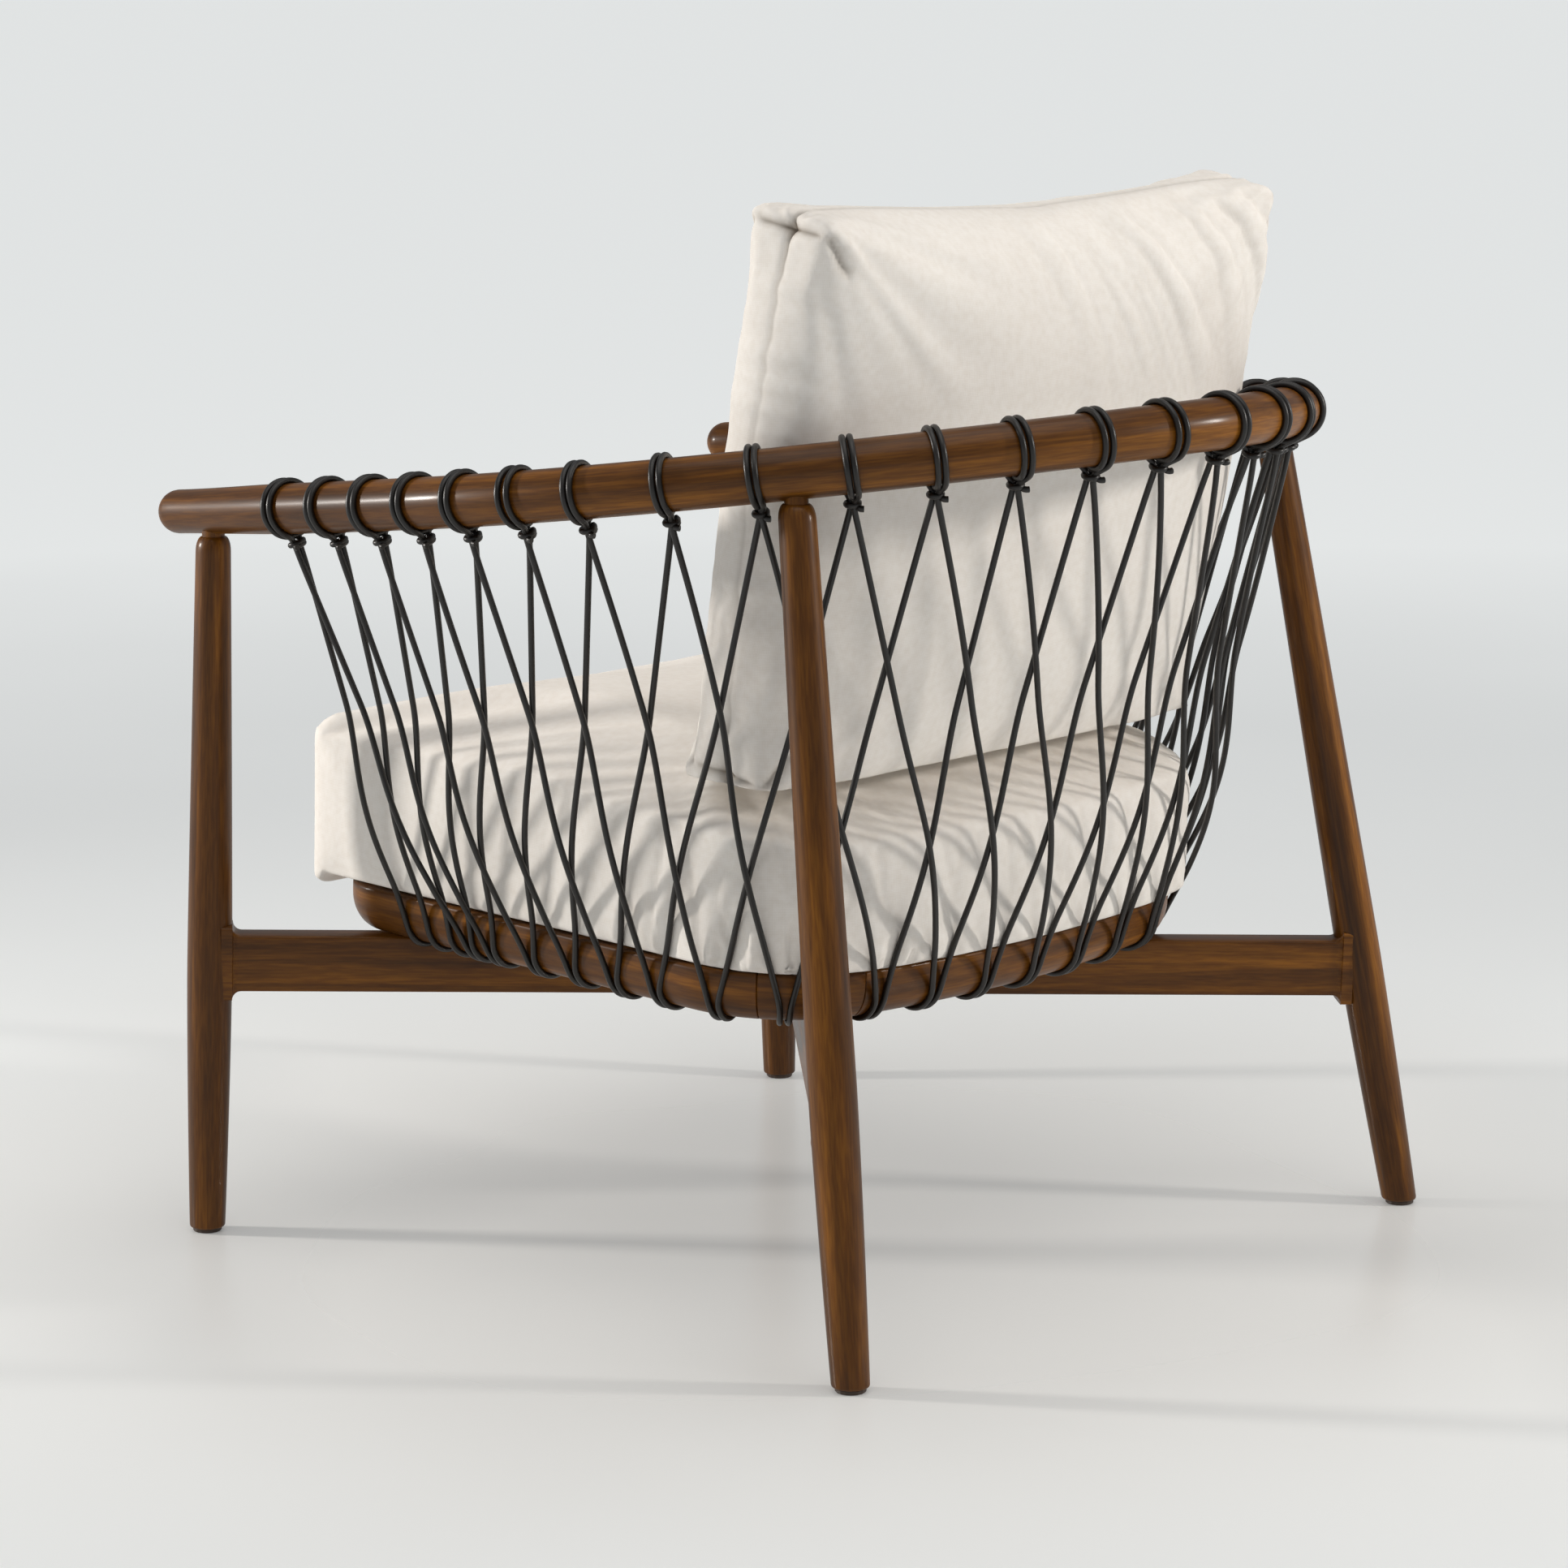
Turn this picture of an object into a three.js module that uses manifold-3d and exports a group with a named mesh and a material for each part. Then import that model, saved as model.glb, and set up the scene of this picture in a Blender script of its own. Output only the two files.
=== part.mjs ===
// Lounge armchair: four turned legs and two half-lapped cross beams carry a bent arm hoop
// and a seat ring. A round leather cord laces the hoop to the ring, and two loose cushions
// sit inside. Millimetres, +Z up, the sitter faces -Y, and the sitter's left is +X.
import * as THREE from "three";
import { mergeVertices } from "three/addons/utils/BufferGeometryUtils.js";
import Module from "manifold-3d";

const wasm = await Module();
wasm.setup();
const degrees = Math.PI / 180;

// ---------------------------------------------------------------- Driving dimensions
const FIT = 0.3; // gap kept between pieces that touch

// Arm hoop: a round rail seen from above as straight arm, long bend and slightly bowed back.
const HOOP_FRONT_X = 325.2;
const HOOP_FRONT_Y = -377.4;
const HOOP_FRONT_Z = 573.8;
const HOOP_RISE = 98.8; // from the front tips to the middle of the back
const HOOP_RISE_CURVE = 0.17; // share of the rise that comes late
const HOOP_SPLAY = 7.28; // the arms open towards the back by this angle
const HOOP_ARM = 318.9;
const HOOP_BEND_RADIUS = 411.1;
const HOOP_BOW = 10.42; // half of the angle that the bowed back turns through
const HOOP_RADIUS = 19.6;
const HOOP_TIP_RADIUS = 17.4;
const HOOP_TIP_TAPER = 150; // length over which the tip grows to the full radius
const HOOP_SIDES = 14;

// Legs.
const FRONT_FOOT_X = 349.5;
const FRONT_FOOT_Y = -336.6;
const BACK_FOOT_X = 347.8;
const BACK_FOOT_Y = 336.6;
const FRONT_LEG_STATION = 45; // along the hoop from its tip
const BACK_LEG_STATION = 630;
const LEG_FOOT_RADIUS = 14.1;
const LEG_BELLY_RADIUS = 17.9;
const LEG_TOP_RADIUS = 13.7;
const LEG_BELLY_HEIGHT = 215;
const LEG_SHOULDER = 14; // height of the rounded shoulder under the hoop
const LEG_EDGE = 2.5; // rounding of the foot
const LEG_TENON_RADIUS = 9;
const LEG_TENON_DEPTH = 13; // into the hoop
const LEG_SIDES = 16;
const GLIDE_HEIGHT = 3;
const GLIDE_INSET = 2.6;

// The seat frame lies in a plane that drops towards the back.
const SEAT_Z = 270.3; // top of the seat ring at the middle of the chair
const SEAT_PITCH = 2.1;

// Seat ring: its outline from above, then its section.
const RING_FRONT_Y = -288;
const RING_HALF_WIDTH = 257.8;
const RING_FRONT_RADIUS = 50;
const RING_SPLAY = 1.3;
const RING_SIDE = 338;
const RING_CORNER_RADIUS = 113.2;
const RING_BOW = 10.5;
const RING_HEIGHT = 39.3;
const RING_WIDTH = 46;
const RING_LIP = 10; // upright part of the outer face, above the rounding
const RING_ROUND = 22; // how far the rounding runs in under the ring
const STRAP_REBATE_WIDTH = 22;
const STRAP_REBATE_DEPTH = 4;
const RING_CORNER_START = 403; // corner block, measured from the front end of the side
const RING_CORNER_END = 489;
const RING_TENON_LENGTH = 16;
const RING_TENON_WIDTH = 14;
const RING_TENON_HEIGHT = 12;

// Cross beams.
const BEAM_HEIGHT = 45.6;
const BEAM_THICKNESS = 25;
const BEAM_EDGE = 2.5;
const BEAM_FILLET = 6;
const BEAM_TENON_THICKNESS = 10;
const BEAM_TENON_HEIGHT = 30;
const BEAM_TENON_DEPTH = 12;

// Screws that rise through the beams into the ring.
const SCREW_RADIUS = 2.5;
const SCREW_HEAD_RADIUS = 5;
const SCREW_HEAD_HEIGHT = 3;
const SCREW_BITE = 20;
const SCREW_RECESS = 1;

// Webbing straps under the seat cushion.
const STRAP_COUNT = 5;
const STRAP_WIDTH = 58;
const STRAP_THICKNESS = 2.6;
const STRAP_FIRST_Y = -205;
const STRAP_SPACING = 76;
const STRAP_CLEARANCE = 4; // from the strap's end to the wall of its rebate

// Lacing. Loop k goes round the hoop, and its two strands land on the ring at stations
// k and k + LACE_SKIP. Each run is a station number and its distance along the piece.
const CORD_RADIUS = 2.4;
const LOOP_COUNT = 29;
const LOOPS_PER_ARM = 9;
const LACE_SKIP = 3;
const LOOP_FIRST = 143;
const LOOP_SEVENTH = 467;
const LOOP_TENTH = 669;
const LANDING_RUNS = [
  [1, 39],
  [5, 135],
  [9, 312],
  [11, 425],
  [12, 503],
  [18, 845],
  [19, 922],
  [23, 1052],
  [28, 1221],
  [32, 1302],
]; // from the front end of the ring's side
const CORD_LAYER = 3.1; // strands a run this far inside the lacing surface, strands b outside
const CORD_PAIR_GAP = 3.9; // half of the distance between two cords that share a landing
const CORD_MERGE = 0.1; // last share of a strand, in which the two layers come together
const CORD_BOW = 12; // how far the cushion pushes the strands out
const CORD_BOW_START = 0.55; // share of a strand above which it runs straight
const CORD_TURN_START = 50; // angle from straight down at which a strand joins its turns
const CORD_TURN_STEPS = 13;
const CORD_SIDES = 5;
const CORD_STANDOFF = 1.1; // room that the straight steps of a cord need over a round edge
const HITCH_DROP = 11;
const TAIL_HOLE_RADIUS = 3.1;
const TAIL_HOLE_DEPTH = 12;
const TAIL_INSET = 33;

// Cushions.
const SEAT_CUSHION_HEIGHT = 130;
const SEAT_CUSHION_GAP = 1;
const SEAT_CUSHION_INSET = 8; // its base is this much smaller than the ring
const SEAT_CUSHION_BULGE = 17;
const SEAT_CUSHION_EDGE = 44; // height over which the bulge builds up
const SEAT_CUSHION_OVERHANG = 8;
const SEAT_CUSHION_FRONT_RADIUS = 48;
const BACK_CUSHION_WIDTH = 540;
const BACK_CUSHION_HEIGHT = 432;
const BACK_CUSHION_THICKNESS = 150;
const BACK_CUSHION_EDGE = 66; // how far in from its rim it reaches its full thickness
const BACK_CUSHION_RIM = 10; // thickness of the rim itself
const BACK_CUSHION_CORNER = 34;
const BACK_CUSHION_LEAN = 10;
const BACK_CUSHION_Y = 174;
const BACK_CUSHION_GAP = 2; // to the seat cushion

// ---------------------------------------------------------------- Materials
const lacqueredWood = new THREE.MeshStandardMaterial({ color: 0x7a4a22, roughness: 0.32 });
const leatherCord = new THREE.MeshStandardMaterial({ color: 0x1b1613, roughness: 0.55 });
const cottonCanvas = new THREE.MeshStandardMaterial({ color: 0xe9e2d8, roughness: 0.9 });
const webbing = new THREE.MeshStandardMaterial({ color: 0x2a2724, roughness: 0.85 });
const zincSteel = new THREE.MeshStandardMaterial({ color: 0xb9bcc0, roughness: 0.4, metalness: 0.9 });
const nylon = new THREE.MeshStandardMaterial({ color: 0x2b2420, roughness: 0.6 });

const chair = new THREE.Group();

function addPiece(parent, name, geometry, material) {
  const mesh = new THREE.Mesh(geometry, material);
  mesh.name = name;
  parent.add(mesh);
  return mesh;
}

// ---------------------------------------------------------------- Solids
function solidOf(geometry, matrix = new THREE.Matrix4()) {
  const bare = geometry.clone().applyMatrix4(matrix);
  bare.deleteAttribute("normal");
  bare.deleteAttribute("uv");
  const merged = mergeVertices(bare, 1e-3);
  return new wasm.Manifold(
    new wasm.Mesh({
      numProp: 3,
      vertProperties: merged.attributes.position.array,
      triVerts: new Uint32Array(merged.index.array),
    }),
  );
}

function geometryOf(solid) {
  const mesh = solid.getMesh();
  const geometry = new THREE.BufferGeometry();
  geometry.setAttribute("position", new THREE.BufferAttribute(mesh.vertProperties, 3));
  geometry.setIndex(new THREE.BufferAttribute(mesh.triVerts, 1));
  return geometry;
}

function eachVertex(geometry, move) {
  const position = geometry.getAttribute("position");
  const point = new THREE.Vector3();
  for (let i = 0; i < position.count; i++) {
    point.fromBufferAttribute(position, i);
    move(point);
    position.setXYZ(i, point.x, point.y, point.z);
  }
  return geometry;
}

// A bar of a given outline, with its length along local Z from start to end.
function bar(outline, start, end, steps = 1) {
  const geometry = new THREE.ExtrudeGeometry(outline, {
    depth: end - start,
    steps,
    bevelEnabled: false,
    curveSegments: 5,
  });
  return geometry.translate(0, 0, start);
}

function rectangle(width, height, centreX = 0, centreY = 0) {
  const shape = new THREE.Shape();
  shape.moveTo(centreX - width / 2, centreY - height / 2);
  shape.lineTo(centreX + width / 2, centreY - height / 2);
  shape.lineTo(centreX + width / 2, centreY + height / 2);
  shape.lineTo(centreX - width / 2, centreY + height / 2);
  shape.closePath();
  return shape;
}

// A turned piece, its axis along local Z, from [radius, height] pairs that rise.
function turned(profile, sides) {
  const points = profile.map(([radius, height]) => new THREE.Vector2(radius, height));
  return new THREE.LatheGeometry(points, sides).rotateX(Math.PI / 2);
}

// ---------------------------------------------------------------- Plan paths
// A path seen from above that starts at a point and turns left, made of moves that are
// straights { length } or bends { radius, angle }. The last bend ends on the line x = 0,
// and the path then repeats as its own mirror image. A heading of 0 runs along +Y.
const leftOf = (heading) => new THREE.Vector2(-Math.cos(heading), Math.sin(heading));
const aheadOf = (heading) => new THREE.Vector2(Math.sin(heading), Math.cos(heading));

class PlanPath {
  constructor(start, heading, moves, bow) {
    this.legs = [];
    let point = start.clone();
    let facing = heading;
    let from = 0;
    const addLeg = (length, radius) => {
      this.legs.push({ from, to: from + length, point, facing, radius });
      from += length;
      const end = this.onLeg(this.legs.at(-1), from);
      point = end.point;
      facing = end.facing;
    };
    for (const move of moves) {
      if (move.radius) addLeg(move.radius * move.angle, move.radius);
      else addLeg(move.length, 0);
    }
    const backRadius = point.x / Math.sin(bow);
    addLeg(backRadius * bow, backRadius);
    this.half = from;
    this.length = 2 * from;
  }

  onLeg(leg, distance) {
    const run = distance - leg.from;
    if (!leg.radius) {
      return { point: leg.point.clone().addScaledVector(aheadOf(leg.facing), run), facing: leg.facing };
    }
    const facing = leg.facing - run / leg.radius;
    const centre = leg.point.clone().addScaledVector(leftOf(leg.facing), leg.radius);
    return { point: centre.addScaledVector(leftOf(facing), -leg.radius), facing };
  }

  // The point, the direction of travel and the direction inwards, all in the plan.
  at(distance) {
    const mirrored = distance > this.half;
    const near = mirrored ? this.length - distance : distance;
    const leg = this.legs.find((one) => near <= one.to) ?? this.legs.at(-1);
    const { point, facing } = this.onLeg(leg, near);
    const ahead = aheadOf(facing);
    const inward = leftOf(facing);
    if (mirrored) {
      point.x *= -1;
      ahead.y *= -1;
      inward.x *= -1;
    }
    return { point, ahead, inward };
  }
}

const hoopPlan = new PlanPath(
  new THREE.Vector2(HOOP_FRONT_X, HOOP_FRONT_Y),
  HOOP_SPLAY * degrees,
  [
    { length: HOOP_ARM },
    { radius: HOOP_BEND_RADIUS, angle: (HOOP_SPLAY + 90 - HOOP_BOW) * degrees },
  ],
  HOOP_BOW * degrees,
);

// The seat ring's outline, or one that lies outside it by grow, and by more at the front.
function seatPlan(grow, growFront, frontRadius) {
  const turn = (90 - RING_SPLAY) * degrees;
  const corner = RING_CORNER_RADIUS + grow;
  const frontY = RING_FRONT_Y - growFront;
  const side = RING_SIDE + RING_FRONT_RADIUS - frontRadius + growFront;
  return new PlanPath(
    new THREE.Vector2(0, frontY),
    90 * degrees,
    [
      { length: RING_HALF_WIDTH + grow - frontRadius },
      { radius: frontRadius, angle: turn },
      { length: side },
      { radius: corner, angle: (RING_SPLAY + 90 - RING_BOW) * degrees },
    ],
    RING_BOW * degrees,
  );
}
const ringPlan = seatPlan(0, 0, RING_FRONT_RADIUS);
const ringSideStart = ringPlan.legs[2].from;
const ringHalf = ringPlan.half;

// ---------------------------------------------------------------- Hoop
const hoopBackY = hoopPlan.at(hoopPlan.half).point.y;

function hoopHeight(y) {
  const share = (y - HOOP_FRONT_Y) / (hoopBackY - HOOP_FRONT_Y);
  return HOOP_FRONT_Z + HOOP_RISE * share * (1 - HOOP_RISE_CURVE + HOOP_RISE_CURVE * share);
}

function hoopRadius(distance) {
  const fromTip = Math.min(distance, hoopPlan.length - distance);
  const grown = THREE.MathUtils.smoothstep(fromTip, 0, HOOP_TIP_TAPER);
  return THREE.MathUtils.lerp(HOOP_TIP_RADIUS, HOOP_RADIUS, grown);
}

// The hoop's centre line, its direction, and the directions inwards and down across it.
function hoopAt(distance) {
  const { point, inward } = hoopPlan.at(distance);
  const centre = new THREE.Vector3(point.x, point.y, hoopHeight(point.y));
  const step = 1;
  const next = hoopPlan.at(distance + step).point;
  const last = hoopPlan.at(distance - step).point;
  const ahead = new THREE.Vector3(next.x, next.y, hoopHeight(next.y));
  ahead.sub(new THREE.Vector3(last.x, last.y, hoopHeight(last.y))).normalize();
  const across = new THREE.Vector3(inward.x, inward.y, 0);
  const down = new THREE.Vector3().crossVectors(across, ahead).normalize();
  if (down.z > 0) down.negate();
  return { centre, ahead, inward: across, down };
}

function hoopProfile() {
  const profile = [];
  const dome = 4;
  for (let i = 0; i <= dome; i++) {
    const angle = (i / dome) * 90 * degrees;
    profile.push([HOOP_TIP_RADIUS * Math.sin(angle), -HOOP_TIP_RADIUS * Math.cos(angle)]);
  }
  const steps = 38;
  for (let i = 1; i < steps; i++) {
    const distance = (i / steps) * hoopPlan.length;
    profile.push([hoopRadius(distance), distance]);
  }
  for (let i = dome; i >= 0; i--) {
    const angle = (i / dome) * 90 * degrees;
    const reach = HOOP_TIP_RADIUS * Math.cos(angle);
    profile.push([HOOP_TIP_RADIUS * Math.sin(angle), hoopPlan.length + reach]);
  }
  profile[0][0] = 0;
  profile[profile.length - 1][0] = 0;
  return profile;
}

function bentHoop() {
  const straight = turned(hoopProfile(), HOOP_SIDES);
  return eachVertex(straight, (vertex) => {
    const { centre, inward, down } = hoopAt(vertex.z);
    const side = vertex.x;
    const height = vertex.y;
    vertex.copy(centre).addScaledVector(inward, side).addScaledVector(down, -height);
  });
}

// ---------------------------------------------------------------- Legs
// A leg leans: each of its level sections is a circle round the line from foot to top.
const legs = [
  { name: "leg_front_left", x: FRONT_FOOT_X, y: FRONT_FOOT_Y, station: FRONT_LEG_STATION },
  { name: "leg_back_left", x: BACK_FOOT_X, y: BACK_FOOT_Y, station: BACK_LEG_STATION },
  { name: "leg_back_right", x: -BACK_FOOT_X, y: BACK_FOOT_Y, station: -BACK_LEG_STATION },
  { name: "leg_front_right", x: -FRONT_FOOT_X, y: FRONT_FOOT_Y, station: -FRONT_LEG_STATION },
]; // a negative station counts from the other end of the hoop
for (const leg of legs) {
  if (leg.station < 0) leg.station += hoopPlan.length;
  const hoop = hoopAt(leg.station);
  leg.foot = new THREE.Vector3(leg.x, leg.y, 0);
  leg.hoopCentre = hoop.centre;
  leg.top = hoop.centre.z - hoopRadius(leg.station); // underside of the hoop
  leg.at = (height) => leg.foot.clone().lerp(hoop.centre, height / hoop.centre.z);
}

function legRadius(leg, height) {
  if (height < LEG_BELLY_HEIGHT) {
    const drop = 1 - height / LEG_BELLY_HEIGHT;
    return LEG_BELLY_RADIUS - (LEG_BELLY_RADIUS - LEG_FOOT_RADIUS) * drop ** 1.5;
  }
  const rise = (height - LEG_BELLY_HEIGHT) / (leg.top - LEG_BELLY_HEIGHT);
  return LEG_BELLY_RADIUS - (LEG_BELLY_RADIUS - LEG_TOP_RADIUS) * rise ** 1.15;
}

function leaning(geometry, leg) {
  return eachVertex(geometry, (vertex) => {
    const axis = leg.at(vertex.z);
    vertex.x += axis.x;
    vertex.y += axis.y;
  });
}

function legProfile(leg, grow) {
  const base = GLIDE_HEIGHT + FIT;
  const shoulder = leg.top - LEG_SHOULDER;
  const tip = leg.top + LEG_TENON_DEPTH;
  const profile = [[0, base], [LEG_FOOT_RADIUS - LEG_EDGE + grow, base]];
  const steps = 7;
  for (let i = 0; i <= steps; i++) {
    const height = THREE.MathUtils.lerp(base + LEG_EDGE, shoulder, i / steps);
    profile.push([legRadius(leg, height) + grow, height]);
  }
  const neck = LEG_TENON_RADIUS;
  const wide = legRadius(leg, shoulder) + grow;
  for (const angle of [35 * degrees, 65 * degrees, 90 * degrees]) {
    const radius = neck + (wide - neck) * Math.cos(angle);
    profile.push([radius, shoulder + (LEG_SHOULDER - 2) * Math.sin(angle)]);
  }
  profile.push([neck, tip - 1], [neck - 1, tip], [0, tip]);
  return profile;
}

function legSolid(leg, grow = 0) {
  return solidOf(leaning(turned(legProfile(leg, grow), LEG_SIDES), leg));
}

function legSocket(leg) {
  const radius = LEG_TENON_RADIUS + FIT;
  const low = leg.top - 2 * HOOP_RADIUS;
  const high = leg.top + LEG_TENON_DEPTH + FIT;
  const pin = turned([[0, low], [radius, low], [radius, high], [0, high]], LEG_SIDES);
  return solidOf(leaning(pin, leg));
}

// ---------------------------------------------------------------- Seat frame
// Everything that lies in the seat's plane sits in this group: its own z is 0 on the
// ring's top face.
const seatFrame = new THREE.Group();
seatFrame.position.z = SEAT_Z;
seatFrame.rotation.x = -SEAT_PITCH * degrees;
seatFrame.updateMatrix();
chair.add(seatFrame);
const seatToChair = seatFrame.matrix.clone();
const chairToSeat = seatToChair.clone().invert();

// Where a leg's axis meets a plane of the seat frame.
function legInSeat(leg, level) {
  const low = leg.at(0).applyMatrix4(chairToSeat);
  const high = leg.at(leg.top).applyMatrix4(chairToSeat);
  return low.lerp(high, (level - low.z) / (high.z - low.z));
}

// Half of the ring's width at a distance from front to back.
function ringHalfWidth(y) {
  let station = ringSideStart;
  while (station < ringHalf && ringPlan.at(station).point.y < y) station += 1;
  return ringPlan.at(station).point.x;
}

// ---------------------------------------------------------------- Cross beams
const beamTop = -RING_HEIGHT - FIT;
const beamMiddle = beamTop - BEAM_HEIGHT / 2;
const beamEnds = legs.map((leg) => legInSeat(leg, beamMiddle));

function beamPlacement(start, end) {
  const along = end.clone().sub(start).normalize();
  const up = new THREE.Vector3(0, 0, 1);
  const across = new THREE.Vector3().crossVectors(along, up);
  const matrix = new THREE.Matrix4().makeBasis(along, up, across);
  return matrix.setPosition(start);
}

// Side view of a beam from one leg's axis to the other, with a fillet at each leg.
function beamOutline(length) {
  const half = BEAM_HEIGHT / 2 - BEAM_EDGE;
  const reach = LEG_BELLY_RADIUS + BEAM_FILLET;
  const wide = half + BEAM_FILLET;
  const shape = new THREE.Shape();
  shape.moveTo(0, -wide);
  shape.lineTo(LEG_BELLY_RADIUS, -wide);
  shape.absarc(reach, -wide, BEAM_FILLET, Math.PI, Math.PI / 2, true);
  shape.lineTo(length - reach, -half);
  shape.absarc(length - reach, -wide, BEAM_FILLET, Math.PI / 2, 0, true);
  shape.lineTo(length, -wide);
  shape.lineTo(length, wide);
  shape.lineTo(length - LEG_BELLY_RADIUS, wide);
  shape.absarc(length - reach, wide, BEAM_FILLET, 0, -Math.PI / 2, true);
  shape.lineTo(reach, half);
  shape.absarc(reach, wide, BEAM_FILLET, -Math.PI / 2, -Math.PI, true);
  shape.lineTo(0, wide);
  shape.closePath();
  return shape;
}

function beamBlank(length) {
  const depth = BEAM_THICKNESS - 2 * BEAM_EDGE;
  const geometry = new THREE.ExtrudeGeometry(beamOutline(length), {
    depth,
    bevelSize: BEAM_EDGE,
    bevelThickness: BEAM_EDGE,
    bevelSegments: 1,
    curveSegments: 3,
  });
  return geometry.translate(0, 0, -depth / 2);
}

// The tenon at each end of a beam, or the mortise for it when grow is the clearance.
function beamTenons(length, grow) {
  const outline = rectangle(
    BEAM_TENON_DEPTH + grow + 4,
    BEAM_TENON_HEIGHT + 2 * grow,
    LEG_BELLY_RADIUS - (BEAM_TENON_DEPTH + grow - 4) / 2,
  );
  const half = BEAM_TENON_THICKNESS / 2 + grow;
  const near = bar(outline, -half, half);
  const far = near.clone().rotateY(Math.PI).translate(length, 0, 0);
  return [near, far];
}

const beams = [
  { name: "beam_front_left_to_back_right", start: 0, end: 2, lap: 1 },
  { name: "beam_front_right_to_back_left", start: 3, end: 1, lap: -1 },
];
const mortises = legs.map(() => []);
for (const beam of beams) {
  const start = beamEnds[beam.start];
  const end = beamEnds[beam.end];
  beam.length = start.distanceTo(end);
  beam.placement = beamPlacement(start, end);
  beam.crossing = beam.length * (start.x / (start.x - end.x));
  const [near, far] = beamTenons(beam.length, FIT);
  const inChair = seatToChair.clone().multiply(beam.placement);
  mortises[beam.start].push(solidOf(near, inChair));
  mortises[beam.end].push(solidOf(far, inChair));
}

// Half-lap: each beam loses one half of its height where the other one passes.
function lapCut(beam, other) {
  const width = BEAM_THICKNESS + 2 * FIT;
  const height = BEAM_HEIGHT;
  const middle = (-beam.lap * (height - FIT)) / 2;
  const outline = rectangle(4 * BEAM_THICKNESS, height, other.crossing, middle);
  const block = bar(outline, -width / 2, width / 2);
  return solidOf(block, other.placement);
}

// ---------------------------------------------------------------- Screws
// Each screw stands under the middle of the ring's width, on the beam's centre line.
function screwSpot(beam, fromStart) {
  const step = 1;
  const start = fromStart ? beamEnds[beam.start] : beamEnds[beam.end];
  const end = fromStart ? beamEnds[beam.end] : beamEnds[beam.start];
  const direction = end.clone().sub(start).normalize();
  const point = start.clone();
  while (distanceInside(point) < RING_WIDTH / 2 + 6) point.addScaledVector(direction, step);
  return point;
}

// How far a point lies inside the ring's outer outline.
function distanceInside(point) {
  let nearest = Infinity;
  let inside = false;
  const stations = 360;
  for (let i = 0; i < stations; i++) {
    const { point: edge, inward } = ringPlan.at((i / stations) * ringPlan.length);
    const toPoint = new THREE.Vector2(point.x - edge.x, point.y - edge.y);
    if (toPoint.length() < nearest) {
      nearest = toPoint.length();
      inside = toPoint.dot(inward) > 0;
    }
  }
  return inside ? nearest : -nearest;
}

const beamBottom = beamTop - BEAM_HEIGHT;
const screwTop = -RING_HEIGHT + SCREW_BITE;
const screwSeat = beamBottom + SCREW_RECESS;

function screwGeometry(grow) {
  const foot = grow ? beamBottom - 1 : screwSeat;
  const neck = screwSeat + SCREW_HEAD_HEIGHT;
  const head = SCREW_HEAD_RADIUS + grow;
  const shank = SCREW_RADIUS + grow;
  const tip = grow ? shank : 0.6;
  const profile = [
    [0, foot],
    [head, foot],
    [head, screwSeat + grow],
    [shank, neck + grow],
    [shank, screwTop - 3 + grow],
    [tip, screwTop + grow],
    [0, screwTop + grow],
  ];
  return turned(profile, 10);
}

const screws = [];
for (const beam of beams) {
  for (const fromStart of [true, false]) {
    const spot = screwSpot(beam, fromStart);
    const depth = spot.y < 0 ? "front" : "back";
    const side = spot.x > 0 ? "left" : "right";
    const matrix = new THREE.Matrix4().makeTranslation(spot.x, spot.y, 0);
    screws.push({ name: `ring_screw_${depth}_${side}`, spot, matrix });
  }
}
const screwHoles = screws.map((screw) => solidOf(screwGeometry(FIT), screw.matrix));

// ---------------------------------------------------------------- Seat ring
function ringSection() {
  const low = -RING_HEIGHT;
  const rebate = -(RING_WIDTH - STRAP_REBATE_WIDTH);
  const shape = new THREE.Shape();
  shape.moveTo(rebate, 0);
  shape.lineTo(rebate, -STRAP_REBATE_DEPTH);
  shape.lineTo(-RING_WIDTH, -STRAP_REBATE_DEPTH);
  shape.lineTo(-RING_WIDTH, low);
  shape.lineTo(-RING_ROUND, low);
  const tall = RING_HEIGHT - RING_LIP;
  shape.absellipse(-RING_ROUND, -RING_LIP, RING_ROUND, tall, -Math.PI / 2, 0, false, 0);
  shape.lineTo(0, -2);
  shape.lineTo(-2, 0);
  shape.closePath();
  return shape;
}

// Bends a bar along the ring: its local x points outwards, y up, and z runs back from end.
function alongRing(geometry, end) {
  return eachVertex(geometry, (vertex) => {
    const { point, inward } = ringPlan.at(end - vertex.z);
    const out = vertex.x;
    vertex.set(point.x - inward.x * out, point.y - inward.y * out, vertex.y);
  });
}

function ringLength(start, end, outline, steps) {
  return solidOf(alongRing(bar(outline, 0, end - start, steps), end));
}

const cornerStart = ringSideStart + RING_CORNER_START;
const cornerEnd = ringSideStart + RING_CORNER_END;
const frontJoint = ringPlan.legs[1].from;
const mirrorStation = (station) => 2 * ringHalf - station;
const joints = [cornerStart, cornerEnd, mirrorStation(cornerEnd), mirrorStation(cornerStart)];
const ringPieces = [
  { name: "ring_side_left", start: frontJoint, end: joints[0], steps: 11 },
  { name: "ring_corner_left", start: joints[0], end: joints[1], steps: 5 },
  { name: "ring_back", start: joints[1], end: joints[2], steps: 12 },
  { name: "ring_corner_right", start: joints[2], end: joints[3], steps: 5 },
  { name: "ring_side_right", start: joints[3], end: mirrorStation(frontJoint), steps: 11 },
];
for (const piece of ringPieces) {
  piece.solid = ringLength(piece.start + FIT / 2, piece.end - FIT / 2, ringSection(), piece.steps);
}

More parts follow.
